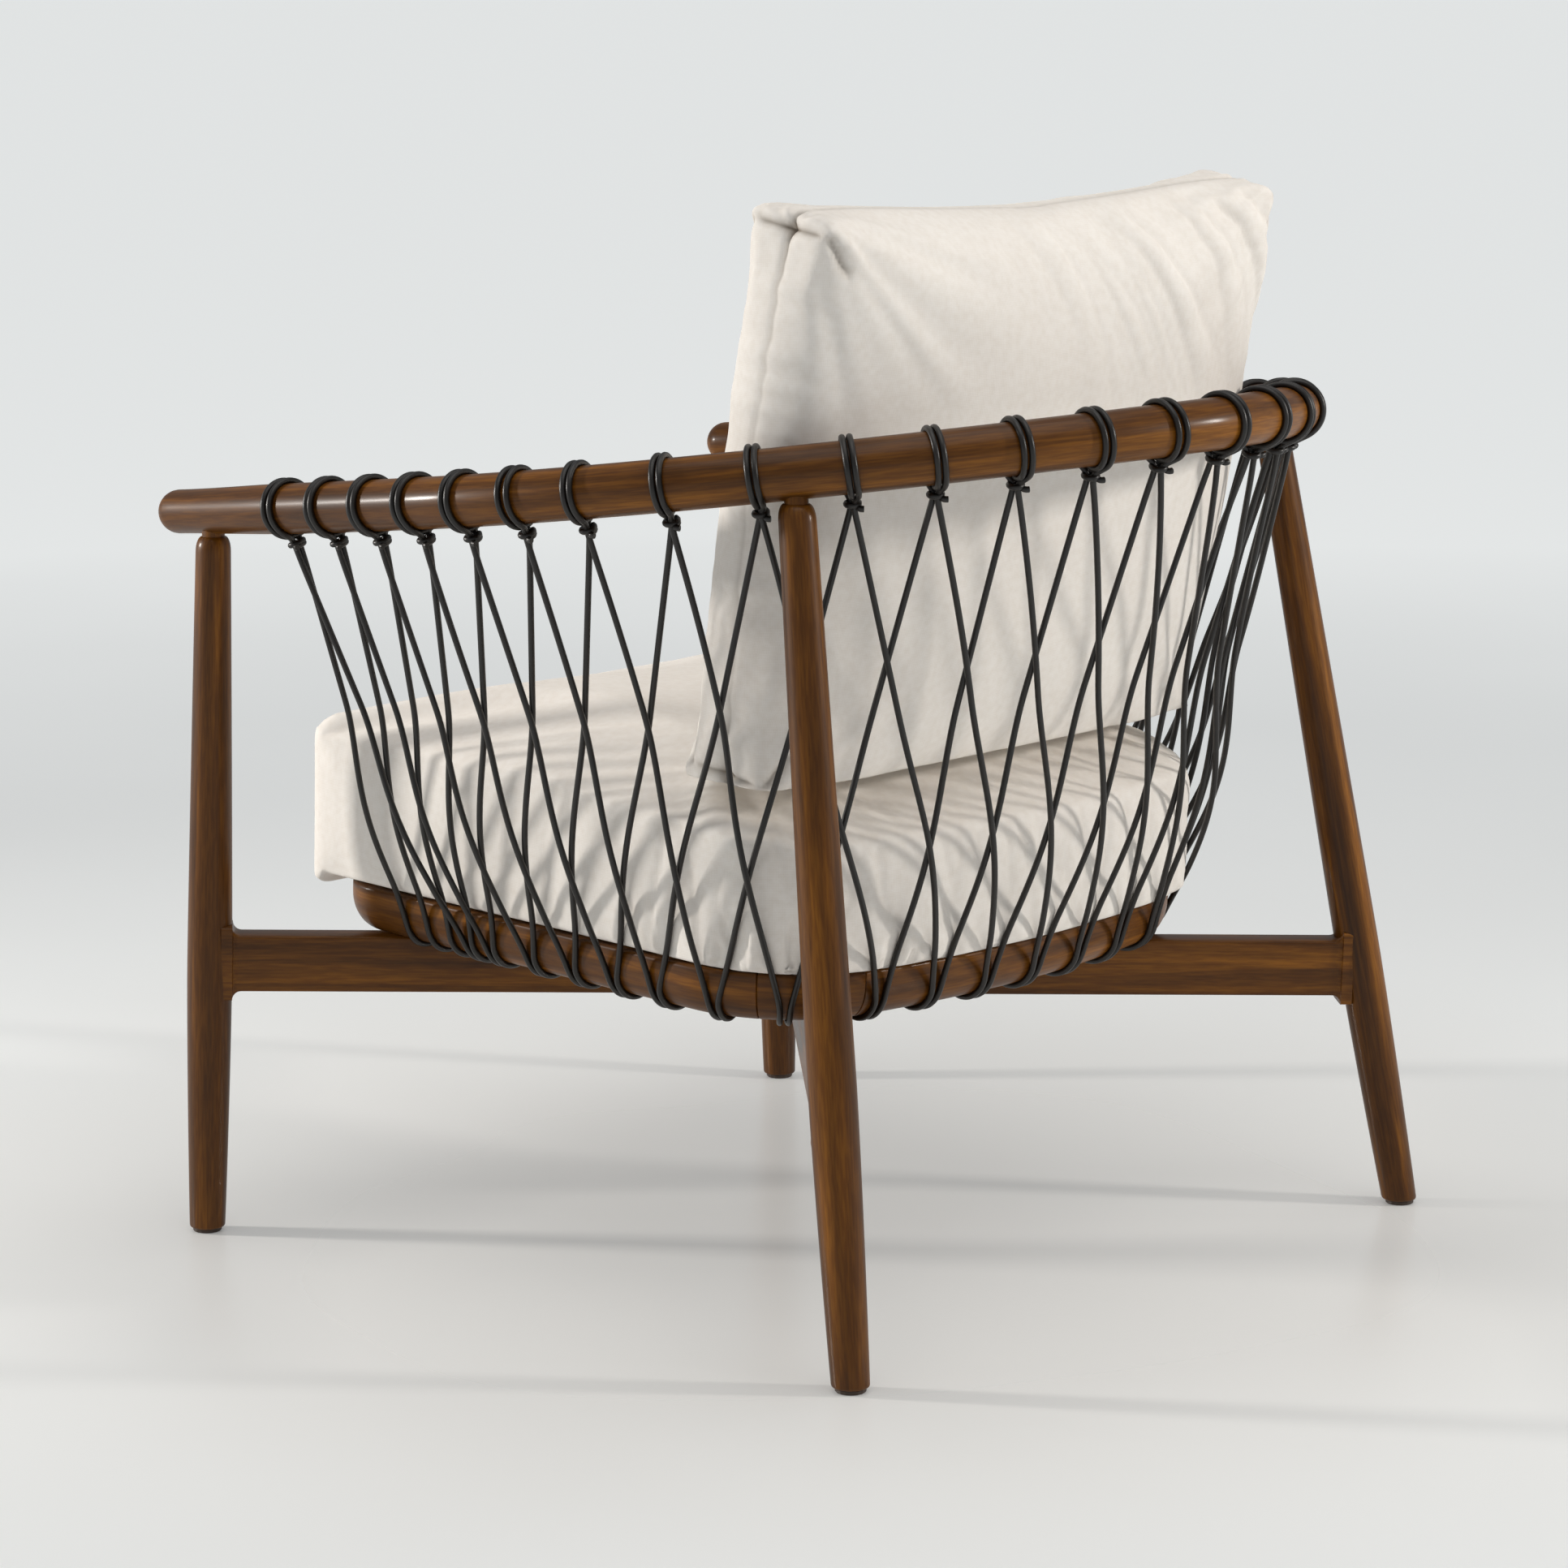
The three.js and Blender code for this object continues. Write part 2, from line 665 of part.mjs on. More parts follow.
// A short tongue across a joint of the ring; grown, it is the slot for the tongue.
const tongueLevel = -STRAP_REBATE_DEPTH - (RING_HEIGHT - STRAP_REBATE_DEPTH) / 2 + 4;
function tongueOutline(inset, grow) {
  const width = RING_TENON_WIDTH + 2 * grow;
  const height = RING_TENON_HEIGHT + 2 * grow;
  return rectangle(width, height, -inset, tongueLevel);
}

function tongue(joint, near, far, grow) {
  const outline = tongueOutline(RING_WIDTH / 2 + 4, grow);
  return ringLength(joint + Math.min(near, far), joint + Math.max(near, far), outline, 1);
}

// The side and back rails carry the tongues, and the corner blocks have the slots.
for (const [index, joint] of joints.entries()) {
  const before = ringPieces[index];
  const after = ringPieces[index + 1];
  const railFirst = after.name.includes("corner");
  const rail = railFirst ? before : after;
  const corner = railFirst ? after : before;
  const reach = railFirst ? 1 : -1;
  rail.solid = rail.solid.add(tongue(joint, -4 * reach, RING_TENON_LENGTH * reach, 0));
  const slot = tongue(joint, -reach, (RING_TENON_LENGTH + FIT) * reach, FIT);
  corner.solid = corner.solid.subtract(slot);
}

// The front rail is straight, and its tenons enter the two side rails.
function frontBar(halfLength, outline) {
  const geometry = eachVertex(bar(outline, -halfLength, halfLength), (vertex) => {
    vertex.set(-vertex.z, RING_FRONT_Y - vertex.x, vertex.y);
  });
  return solidOf(geometry);
}
const frontHalf = RING_HALF_WIDTH - RING_FRONT_RADIUS;
const frontInset = RING_WIDTH / 2 - 4;
const frontTongue = frontBar(frontHalf + RING_TENON_LENGTH, tongueOutline(frontInset, 0));
const frontSlot = frontBar(frontHalf + RING_TENON_LENGTH + FIT, tongueOutline(frontInset, FIT));
const frontSolid = frontBar(frontHalf - FIT / 2, ringSection()).add(frontTongue);
const frontRail = { name: "ring_front", solid: frontSolid };
for (const piece of ringPieces) {
  if (piece.name.startsWith("ring_side")) piece.solid = piece.solid.subtract(frontSlot);
}
ringPieces.push(frontRail);

// ---------------------------------------------------------------- Lacing
function alongRuns(runs, number) {
  let index = runs.findIndex(([last]) => number <= last);
  if (index < 1) index = index < 0 ? runs.length - 1 : 1;
  const [fromNumber, from] = runs[index - 1];
  const [toNumber, to] = runs[index];
  return from + ((to - from) * (number - fromNumber)) / (toNumber - fromNumber);
}

const middleLoop = (LOOP_COUNT + 1) / 2;
const loopRuns = [[1, LOOP_FIRST], [7, LOOP_SEVENTH], [10, LOOP_TENTH], [middleLoop, hoopPlan.half]];
for (const [number, distance] of loopRuns.slice(0, 3).reverse()) {
  loopRuns.push([LOOP_COUNT + 1 - number, hoopPlan.length - distance]);
}
const loopStation = (number) => alongRuns(loopRuns, number);
const landingStation = (number) => ringSideStart + alongRuns(LANDING_RUNS, number);

// Outer surface of the ring where a cord lies on it: angle 0 is upright, 90 is underneath.
function onRing(station, angle) {
  const { point, inward } = ringPlan.at(station);
  const wide = RING_ROUND;
  const tall = RING_HEIGHT - RING_LIP;
  const off = CORD_RADIUS + CORD_STANDOFF;
  const normal = new THREE.Vector2(Math.cos(angle) / wide, -Math.sin(angle) / tall).normalize();
  const out = -wide + wide * Math.cos(angle) + normal.x * off;
  const up = -RING_LIP - tall * Math.sin(angle) + normal.y * off;
  const spot = new THREE.Vector3(point.x - inward.x * out, point.y - inward.y * out, up);
  return { spot: spot.applyMatrix4(seatToChair), inward: new THREE.Vector3(inward.x, inward.y, 0) };
}

const touchAngle = 30 * degrees;

// Below a landing the cord turns in under the ring and up into its blind hole.
function tailPoints(station) {
  const { point, inward } = ringPlan.at(station);
  const under = (inset, level) => {
    const spot = new THREE.Vector3(point.x + inward.x * inset, point.y + inward.y * inset, level);
    return spot.applyMatrix4(seatToChair);
  };
  const below = -RING_HEIGHT - CORD_RADIUS - CORD_STANDOFF;
  return [
    onRing(station, 60 * degrees).spot,
    onRing(station, 88 * degrees).spot,
    under(TAIL_INSET - 3, below),
    under(TAIL_INSET, below + 3),
    under(TAIL_INSET, -RING_HEIGHT + TAIL_HOLE_DEPTH - 2),
  ];
}

// A strand from loop number to landing number, from the hitch down to the ring. It follows
// the surface that the straight strands span, a layer inside it or outside it.
function strandPoints(loop, landing, layer) {
  const startAt = loopStation(loop);
  const endAt = landingStation(landing) - layer * CORD_PAIR_GAP;
  const points = [];
  for (const share of [0, 0.3, 0.55, 0.78, 0.92, 1]) {
    const reach = (1 - share) * startAt + share * endAt;
    let low = loop - 1;
    let high = loop + LACE_SKIP + 1;
    for (let i = 0; i < 40; i++) {
      const number = (low + high) / 2;
      const there = (1 - share) * loopStation(number) + share * landingStation(number);
      if (there < reach) low = number;
      else high = number;
    }
    const hoop = hoopAt(share ? loopStation(low) : startAt);
    const drop = hoopRadius(startAt) + CORD_RADIUS + HITCH_DROP;
    const top = hoop.centre.clone().addScaledVector(hoop.down, drop);
    const ring = onRing(share < 1 ? landingStation(low) : endAt, touchAngle);
    const inward = hoop.inward.clone().lerp(ring.inward, share).normalize();
    const pressed = Math.max(0, share - CORD_BOW_START) / (1 - CORD_BOW_START);
    const bow = CORD_BOW * Math.sin(Math.PI * pressed);
    const fade = THREE.MathUtils.clamp((1 - share) / CORD_MERGE, 0, 1);
    const outwards = bow + layer * CORD_LAYER * fade;
    points.push(top.lerp(ring.spot, share).addScaledVector(inward, -outwards));
  }
  return points;
}

// The turns round the hoop, from the inner strand over the top to the outer strand.
function turnPoints(station) {
  const { centre, ahead, inward, down } = hoopAt(station);
  const sweep = 720 - 2 * CORD_TURN_START;
  const halfStep = (sweep / CORD_TURN_STEPS / 2) * degrees;
  const radius = (hoopRadius(station) + FIT + CORD_RADIUS) / Math.cos(halfStep) + 0.2;
  const pitch = (2 * CORD_RADIUS + 2 * FIT) / 360;
  const points = [];
  for (let i = 0; i <= CORD_TURN_STEPS; i++) {
    const turn = (i / CORD_TURN_STEPS) * sweep;
    const angle = (CORD_TURN_START + turn) * degrees;
    const spot = centre.clone().addScaledVector(ahead, pitch * (turn - sweep / 2));
    spot.addScaledVector(down, radius * Math.cos(angle));
    points.push(spot.addScaledVector(inward, radius * Math.sin(angle)));
  }
  return points;
}

// A path that passes through chosen points, with one step of an extrusion to each.
class Route extends THREE.Curve {
  constructor(points) {
    super();
    this.points = points;
  }

  getPoint(share) {
    const place = share * (this.points.length - 1);
    const index = Math.min(Math.floor(place), this.points.length - 2);
    return this.points[index].clone().lerp(this.points[index + 1], place - index);
  }

  getPointAt(share) {
    return this.getPoint(share);
  }

  getTangentAt(share) {
    const index = Math.round(share * (this.points.length - 1));
    const here = this.points[index];
    const next = this.points[Math.min(index + 1, this.points.length - 1)];
    const last = this.points[Math.max(index - 1, 0)];
    const after = next.clone().sub(here).normalize();
    const before = here.clone().sub(last).normalize();
    return after.add(before).normalize();
  }
}

function cordAlong(points) {
  const section = new THREE.Shape();
  for (let i = 0; i < CORD_SIDES; i++) {
    const angle = (i / CORD_SIDES) * 2 * Math.PI;
    const x = CORD_RADIUS * Math.cos(angle);
    const y = CORD_RADIUS * Math.sin(angle);
    if (i) section.lineTo(x, y);
    else section.moveTo(x, y);
  }
  section.closePath();
  const steps = points.length - 1;
  return new THREE.ExtrudeGeometry(section, { steps, extrudePath: new Route(points) });
}

function laceName(number) {
  if (number <= LOOPS_PER_ARM) return `lace_left_${number}`;
  if (number > LOOP_COUNT - LOOPS_PER_ARM) return `lace_right_${LOOP_COUNT + 1 - number}`;
  return `lace_back_${number - LOOPS_PER_ARM}`;
}

const tailStations = [];
const laces = [];
for (let number = 1; number <= LOOP_COUNT; number++) {
  const innerAt = landingStation(number) + CORD_PAIR_GAP;
  const outerAt = landingStation(number + LACE_SKIP) - CORD_PAIR_GAP;
  tailStations.push(innerAt, outerAt);
  const inner = [...strandPoints(number, number, -1), ...tailPoints(innerAt)].reverse();
  const outer = [...strandPoints(number, number + LACE_SKIP, 1), ...tailPoints(outerAt)];
  const points = [...inner, ...turnPoints(loopStation(number)), ...outer];
  laces.push({ name: laceName(number), geometry: cordAlong(points) });
}

function tailHole(station) {
  const { point, inward } = ringPlan.at(station);
  const low = -RING_HEIGHT - 1;
  const high = -RING_HEIGHT + TAIL_HOLE_DEPTH;
  const hole = turned([[0, low], [TAIL_HOLE_RADIUS, low], [TAIL_HOLE_RADIUS, high], [0, high]], 6);
  const x = point.x + inward.x * TAIL_INSET;
  const y = point.y + inward.y * TAIL_INSET;
  return { station, solid: solidOf(hole.translate(x, y, 0)) };
}
const tailHoles = tailStations.map(tailHole);

// ---------------------------------------------------------------- Cushions
function outlineOf(plan, count) {
  const shape = new THREE.Shape();
  for (let i = 0; i < count; i++) {
    const { point } = plan.at(((i + 0.5) / count) * plan.length);
    if (i) shape.lineTo(point.x, point.y);
    else shape.moveTo(point.x, point.y);
  }
  shape.closePath();
  return shape;
}

function seatCushion() {
  const grow = -SEAT_CUSHION_INSET;
  const frontGrow = grow + SEAT_CUSHION_OVERHANG;
  const plan = seatPlan(grow, frontGrow, SEAT_CUSHION_FRONT_RADIUS);
  const geometry = new THREE.ExtrudeGeometry(outlineOf(plan, 40), {
    depth: SEAT_CUSHION_HEIGHT - 2 * SEAT_CUSHION_EDGE,
    bevelSize: SEAT_CUSHION_BULGE,
    bevelThickness: SEAT_CUSHION_EDGE,
    bevelSegments: 3,
  });
  return geometry.translate(0, 0, SEAT_CUSHION_GAP + SEAT_CUSHION_EDGE);
}

function backCushion() {
  const halfWidth = BACK_CUSHION_WIDTH / 2 - BACK_CUSHION_EDGE;
  const halfHeight = BACK_CUSHION_HEIGHT / 2 - BACK_CUSHION_EDGE;
  const corner = BACK_CUSHION_CORNER;
  const shape = new THREE.Shape();
  shape.moveTo(-halfWidth + corner, -halfHeight);
  shape.lineTo(halfWidth - corner, -halfHeight);
  shape.absarc(halfWidth - corner, -halfHeight + corner, corner, -Math.PI / 2, 0, false);
  shape.lineTo(halfWidth, halfHeight - corner);
  shape.absarc(halfWidth - corner, halfHeight - corner, corner, 0, Math.PI / 2, false);
  shape.lineTo(-halfWidth + corner, halfHeight);
  shape.absarc(-halfWidth + corner, halfHeight - corner, corner, Math.PI / 2, Math.PI, false);
  shape.lineTo(-halfWidth, -halfHeight + corner);
  shape.absarc(-halfWidth + corner, -halfHeight + corner, corner, Math.PI, 1.5 * Math.PI, false);
  const depth = BACK_CUSHION_RIM;
  const geometry = new THREE.ExtrudeGeometry(shape, {
    depth,
    bevelSize: BACK_CUSHION_EDGE,
    bevelThickness: (BACK_CUSHION_THICKNESS - BACK_CUSHION_RIM) / 2,
    bevelSegments: 3,
    curveSegments: 2,
  });
  return geometry.translate(0, 0, -depth / 2).rotateX(Math.PI / 2);
}

// ---------------------------------------------------------------- Assembly
let hoopSolid = solidOf(bentHoop());
legs.forEach((leg, index) => {
  hoopSolid = hoopSolid.subtract(legSocket(leg));
  let solid = legSolid(leg);
  for (const mortise of mortises[index]) solid = solid.subtract(mortise);
  addPiece(chair, leg.name, geometryOf(solid), lacqueredWood);
  const glide = turned(
    [
      [0, 0],
      [LEG_FOOT_RADIUS - GLIDE_INSET - 1, 0],
      [LEG_FOOT_RADIUS - GLIDE_INSET, 1],
      [LEG_FOOT_RADIUS - GLIDE_INSET, GLIDE_HEIGHT],
      [0, GLIDE_HEIGHT],
    ],
    LEG_SIDES,
  );
  const glideMesh = addPiece(chair, leg.name.replace("leg", "glide"), glide, nylon);
  glideMesh.position.copy(leg.at(GLIDE_HEIGHT / 2)).setZ(0);
});
addPiece(chair, "arm_hoop", geometryOf(hoopSolid), lacqueredWood);

beams.forEach((beam, index) => {
  const other = beams[1 - index];
  let solid = solidOf(beamBlank(beam.length), beam.placement);
  for (const end of [beam.start, beam.end]) {
    const leg = legSolid(legs[end], FIT);
    solid = solid.subtract(leg.transform(chairToSeat.toArray()));
  }
  for (const tenon of beamTenons(beam.length, 0)) solid = solid.add(solidOf(tenon, beam.placement));
  solid = solid.subtract(lapCut(beam, other));
  for (const hole of screwHoles) solid = solid.subtract(hole);
  addPiece(seatFrame, beam.name, geometryOf(solid), lacqueredWood);
});

for (const piece of ringPieces) {
  let solid = piece.solid;
  for (const hole of screwHoles) solid = solid.subtract(hole);
  for (const hole of tailHoles) {
    const reaches = hole.station > piece.start - 20 && hole.station < piece.end + 20;
    if (reaches) solid = solid.subtract(hole.solid);
  }
  addPiece(seatFrame, piece.name, geometryOf(solid), lacqueredWood);
}

for (const screw of screws) {
  const mesh = addPiece(seatFrame, screw.name, screwGeometry(0), zincSteel);
  mesh.position.set(screw.spot.x, screw.spot.y, 0);
}

for (let i = 0; i < STRAP_COUNT; i++) {
  const y = STRAP_FIRST_Y + i * STRAP_SPACING;
  const narrowest = Math.min(ringHalfWidth(y - STRAP_WIDTH / 2), ringHalfWidth(y + STRAP_WIDTH / 2));
  const halfLength = narrowest - (RING_WIDTH - STRAP_REBATE_WIDTH) - STRAP_CLEARANCE;
  const strap = new THREE.BoxGeometry(2 * halfLength, STRAP_WIDTH, STRAP_THICKNESS);
  const mesh = addPiece(seatFrame, `webbing_strap_${i + 1}`, strap, webbing);
  mesh.position.set(0, y, -STRAP_REBATE_DEPTH + FIT + STRAP_THICKNESS / 2);
}

for (const lace of laces) addPiece(chair, lace.name, lace.geometry, leatherCord);

addPiece(seatFrame, "seat_cushion", seatCushion(), cottonCanvas);
const backMesh = addPiece(chair, "back_cushion", backCushion(), cottonCanvas);
const lean = BACK_CUSHION_LEAN * degrees;
const lowCorner = (BACK_CUSHION_HEIGHT / 2) * Math.cos(lean) + 16 * Math.sin(lean);
const seatTop = SEAT_Z + SEAT_CUSHION_GAP + SEAT_CUSHION_HEIGHT;
const seatDrop = BACK_CUSHION_Y * Math.sin(SEAT_PITCH * degrees);
backMesh.rotation.x = -lean;
backMesh.position.set(0, BACK_CUSHION_Y, seatTop - seatDrop + lowCorner + BACK_CUSHION_GAP);

// The origin is on the floor under the middle of the chair's footprint.
const box = new THREE.Box3().setFromObject(chair);
chair.position.y = -(box.min.y + box.max.y) / 2;

export default chair;
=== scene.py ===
# %% [markdown]
# A laced lounge armchair: wooden arm hoop, leather lacing and two canvas cushions.
# Its solid frame is loaded first. Every piece below is drawn in the same place and size,
# in metres, with +Z up, the sitter facing -Y and the sitter's left towards +X.

# %% Load the frame
import math

import bmesh
import bpy
import numpy as np
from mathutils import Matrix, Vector, kdtree, noise


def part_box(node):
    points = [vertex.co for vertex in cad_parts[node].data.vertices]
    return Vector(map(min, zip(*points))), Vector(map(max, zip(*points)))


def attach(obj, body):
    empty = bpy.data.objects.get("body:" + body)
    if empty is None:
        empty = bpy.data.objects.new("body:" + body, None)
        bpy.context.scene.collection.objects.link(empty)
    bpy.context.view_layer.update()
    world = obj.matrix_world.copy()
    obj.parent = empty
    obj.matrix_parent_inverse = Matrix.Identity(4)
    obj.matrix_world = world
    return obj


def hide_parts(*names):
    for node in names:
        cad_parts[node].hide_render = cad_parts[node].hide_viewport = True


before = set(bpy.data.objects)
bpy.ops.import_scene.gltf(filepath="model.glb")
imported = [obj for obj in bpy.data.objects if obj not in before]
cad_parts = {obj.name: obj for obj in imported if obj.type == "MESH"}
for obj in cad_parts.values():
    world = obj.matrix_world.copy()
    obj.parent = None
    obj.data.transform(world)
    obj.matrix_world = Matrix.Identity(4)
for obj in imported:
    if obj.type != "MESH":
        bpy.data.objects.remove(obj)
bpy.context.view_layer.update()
MM = 0.001
print("frame nodes:", len(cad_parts))

# %% [markdown]
# The chair follows a few rules: the arm rail is one long bent hoop that climbs towards the
# back, and the seat ring is a smaller hoop that lies below it, tipped back by two degrees.
# Both are paths made of straights and bends, so one small path maker serves them, and
# every other piece takes its place from these two paths.

# %% Sizes of the chair, in millimetres
HOOP_START = (325.2, -377.4)
HOOP_Z = 573.8
HOOP_RISE = 98.8
HOOP_RISE_CURVE = 0.17
HOOP_SPLAY = 7.28
HOOP_ARM = 318.9
HOOP_BEND = 411.1
HOOP_BOW = 10.42
HOOP_RADIUS = 19.6
HOOP_TIP_RADIUS = 17.4
HOOP_TIP_TAPER = 150
FRONT_FOOT = (349.5, -336.6)
BACK_FOOT = (347.8, 336.6)
SEAT_Z = 270.3
SEAT_PITCH = math.radians(2.1)
RING_FRONT_Y = -288
RING_HALF_WIDTH = 257.8
RING_FRONT_RADIUS = 50
RING_SPLAY = 1.3
RING_SIDE = 338
RING_CORNER_RADIUS = 113.2
RING_BOW = 10.5
RING_HEIGHT = 39.3
RING_WIDTH = 46
RING_LIP = 10
RING_ROUND = 22
CORD_RADIUS = 2.4
glide_low, glide_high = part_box("glide_front_left")
SHIFT_Y = (glide_low.y + glide_high.y) / 2 / MM - FRONT_FOOT[1]
print("the frame stands", round(SHIFT_Y, 2), "mm off the drawing in y")


# %% A path seen from above, with its mirror image
def heading(angle):
    return np.array([math.sin(angle), math.cos(angle)])


def left_of(angle):
    return np.array([-math.cos(angle), math.sin(angle)])


class PlanPath:
    """Straights and left-hand bends from a start, then a bowed end that meets x = 0."""

    def __init__(self, start, angle, moves, bow):
        self.legs = []
        point, facing, begin = np.array(start, float), angle, 0.0
        for length, radius in moves:
            self.legs.append((begin, begin + length, point, facing, radius))
            begin += length
            point, facing = self.on_leg(self.legs[-1], begin)
        radius = point[0] / math.sin(bow)
        self.legs.append((begin, begin + radius * bow, point, facing, radius))
        self.half = begin + radius * bow
        self.length = 2 * self.half

    @staticmethod
    def on_leg(leg, distance):
        begin, _, point, facing, radius = leg
        run = distance - begin
        if not radius:
            return point + heading(facing) * run, facing
        turned = facing - run / radius
        centre = point + left_of(facing) * radius
        return centre - left_of(turned) * radius, turned

    def at(self, distance):
        mirrored = distance > self.half
        near = self.length - distance if mirrored else distance
        leg = next((one for one in self.legs if near <= one[1]), self.legs[-1])
        point, facing = self.on_leg(leg, near)
        ahead, inward = heading(facing), left_of(facing)
        if mirrored:
            point = point * (-1, 1)
            ahead = ahead * (1, -1)
            inward = inward * (-1, 1)
        return point, ahead, inward


def bend(radius, degrees):
    return (radius * math.radians(degrees), radius)


hoop_plan = PlanPath(
    HOOP_START,
    math.radians(HOOP_SPLAY),
    [(HOOP_ARM, 0), bend(HOOP_BEND, HOOP_SPLAY + 90 - HOOP_BOW)],
    math.radians(HOOP_BOW),
)


def seat_plan(grow=0.0, grow_front=0.0, front_radius=RING_FRONT_RADIUS):
    side = RING_SIDE + RING_FRONT_RADIUS - front_radius + grow_front
    return PlanPath(
        (0, RING_FRONT_Y - grow_front),
        math.radians(90),
        [
            (RING_HALF_WIDTH + grow - front_radius, 0),
            bend(front_radius, 90 - RING_SPLAY),
            (side, 0),
            bend(RING_CORNER_RADIUS + grow, RING_SPLAY + 90 - RING_BOW),
        ],
        math.radians(RING_BOW),
    )


ring_plan = seat_plan()
ring_side_start = ring_plan.legs[2][0]
print("hoop", round(hoop_plan.length), "mm long, ring", round(ring_plan.length), "mm")


# %% From the drawing to the chair
def chair_point(x, y, z):
    return np.array([x, y + SHIFT_Y, z]) * MM


def seat_point(x, y, z):
    """A point of the tipped seat plane, whose z is 0 on top of the ring."""
    c, s = math.cos(SEAT_PITCH), math.sin(SEAT_PITCH)
    return chair_point(x, y * c + z * s, -y * s + z * c + SEAT_Z)


def seat_local(point):
    """The seat-plane coordinates of a chair point, in millimetres."""
    x, y, z = np.asarray(point) / MM - (0, SHIFT_Y, SEAT_Z)
    c, s = math.cos(SEAT_PITCH), math.sin(SEAT_PITCH)
    return np.array([x, y * c - z * s, y * s + z * c])


def unit(vector):
    return np.asarray(vector) / np.linalg.norm(vector)


hoop_back_y = hoop_plan.at(hoop_plan.half)[0][1]


def hoop_height(y):
    share = (y - HOOP_START[1]) / (hoop_back_y - HOOP_START[1])
    return HOOP_Z + HOOP_RISE * share * (1 - HOOP_RISE_CURVE + HOOP_RISE_CURVE * share)


def hoop_radius(distance):
    from_tip = max(0.0, min(distance, hoop_plan.length - distance))
    grown = min(1.0, from_tip / HOOP_TIP_TAPER)
    grown = grown * grown * (3 - 2 * grown)
    return HOOP_TIP_RADIUS + (HOOP_RADIUS - HOOP_TIP_RADIUS) * grown


def hoop_at(distance):
    """Centre (mm), and unit vectors ahead, inward and down across the rail."""
    (x, y), _, (ix, iy) = hoop_plan.at(distance)
    (nx, ny), _, _ = hoop_plan.at(distance + 1)
    (lx, ly), _, _ = hoop_plan.at(distance - 1)
    ahead = unit([nx - lx, ny - ly, hoop_height(ny) - hoop_height(ly)])
    across = np.array([ix, iy, 0.0])
    down = unit(np.cross(across, ahead))
    if down[2] > 0:
        down = -down
    return np.array([x, y, hoop_height(y)]), ahead, across, down


# %% [markdown]
# Colours are written as sRGB hex, the way a paint chart gives them, and turned to the
# linear values that the shader works in by one function. One other function adds a node
# with its settings and its links, so each finish below reads as a short list.

# %% Colour and node helpers
def linear(hex_colour):
    parts = [int(hex_colour[i:i + 2], 16) / 255 for i in (1, 3, 5)]
    out = [p / 12.92 if p <= 0.04045 else ((p + 0.055) / 1.055) ** 2.4 for p in parts]
    return (*out, 1.0)


def node(tree, kind, settings=None, **inputs):
    """Adds a node. Settings are its properties; inputs are values or linked sockets."""
    made = tree.nodes.new(kind)
    for name, value in (settings or {}).items():
        setattr(made, name, value)
    for name, value in inputs.items():
        socket = made.inputs[int(name[1:]) if name[0] == "_" else name.replace("_", " ")]
        if isinstance(value, bpy.types.NodeSocket):
            tree.links.new(value, socket)
        else:
            socket.default_value = value
    return made


def new_material(name, **shader):
    material = bpy.data.materials.new(name)
    material.use_nodes = True
    tree = material.node_tree
    tree.nodes.clear()
    bsdf = node(tree, "ShaderNodeBsdfPrincipled", **shader)
    node(tree, "ShaderNodeOutputMaterial", Surface=bsdf.outputs[0])
    return material, tree, bsdf


def dress(tree, bsdf, **sockets):
    """Links sockets to the shader's inputs of the same names."""
    for name, socket in sockets.items():
        tree.links.new(socket, bsdf.inputs[name.replace("_", " ")])


def ramp(tree, factor, *stops):
    made = node(tree, "ShaderNodeValToRGB", Fac=factor)
    bar = made.color_ramp
    for position, colour in stops[2:]:
        bar.elements.new(position)
    for element, (position, colour) in zip(bar.elements, sorted(stops)):
        element.position = position
        element.color = linear(colour)
    return made.outputs[0]


def object_place(tree):
    return node(tree, "ShaderNodeTexCoord").outputs["Object"]


def soft_noise(tree, place, scale, detail=2.0, **more):
    made = node(tree, "ShaderNodeTexNoise", Vector=place, Scale=scale, Detail=detail, **more)
    return made.outputs["Fac"]


def vector_math(tree, operation, *values, kind="ShaderNodeVectorMath", **more):
    """The result of one operation on the values, which may be numbers or sockets."""
    numbered = {f"_{index}": value for index, value in enumerate(values)}
    made = node(tree, kind, {"operation": operation}, **numbered, **more)
    return made.outputs["Value" if operation in ("DOT_PRODUCT", "LENGTH") else 0]


def number_math(tree, operation, *values):
    return vector_math(tree, operation, *values, kind="ShaderNodeMath")


def multiplied(tree, share, colour, by):
    settings = {"data_type": "RGBA", "blend_type": "MULTIPLY"}
    return node(tree, "ShaderNodeMix", settings, _0=share, _6=colour, _7=by).outputs[2]


def remap(tree, value, low, high, settings=None, **more):
    made = node(tree, "ShaderNodeMapRange", settings, Value=value, To_Min=low, To_Max=high,
                **more)
    return made.outputs[0]


def bump(tree, height, strength, distance):
    made = node(tree, "ShaderNodeBump", Height=height, Strength=strength, Distance=distance)
    return made.outputs[0]


# %% [markdown]
# Beech, stained walnut brown and lacquered. Beech is pale and even, so the stain decides
# the colour; the grain shows as long soft streaks and short fine flecks along the piece.
# The lacquer is a thin clear coat that gives small lights over a softer wood underneath.
# The grain has to bend with the wood, so each wooden piece carries an attribute that
# says where each point lay in the straight plank: along it, and across it.

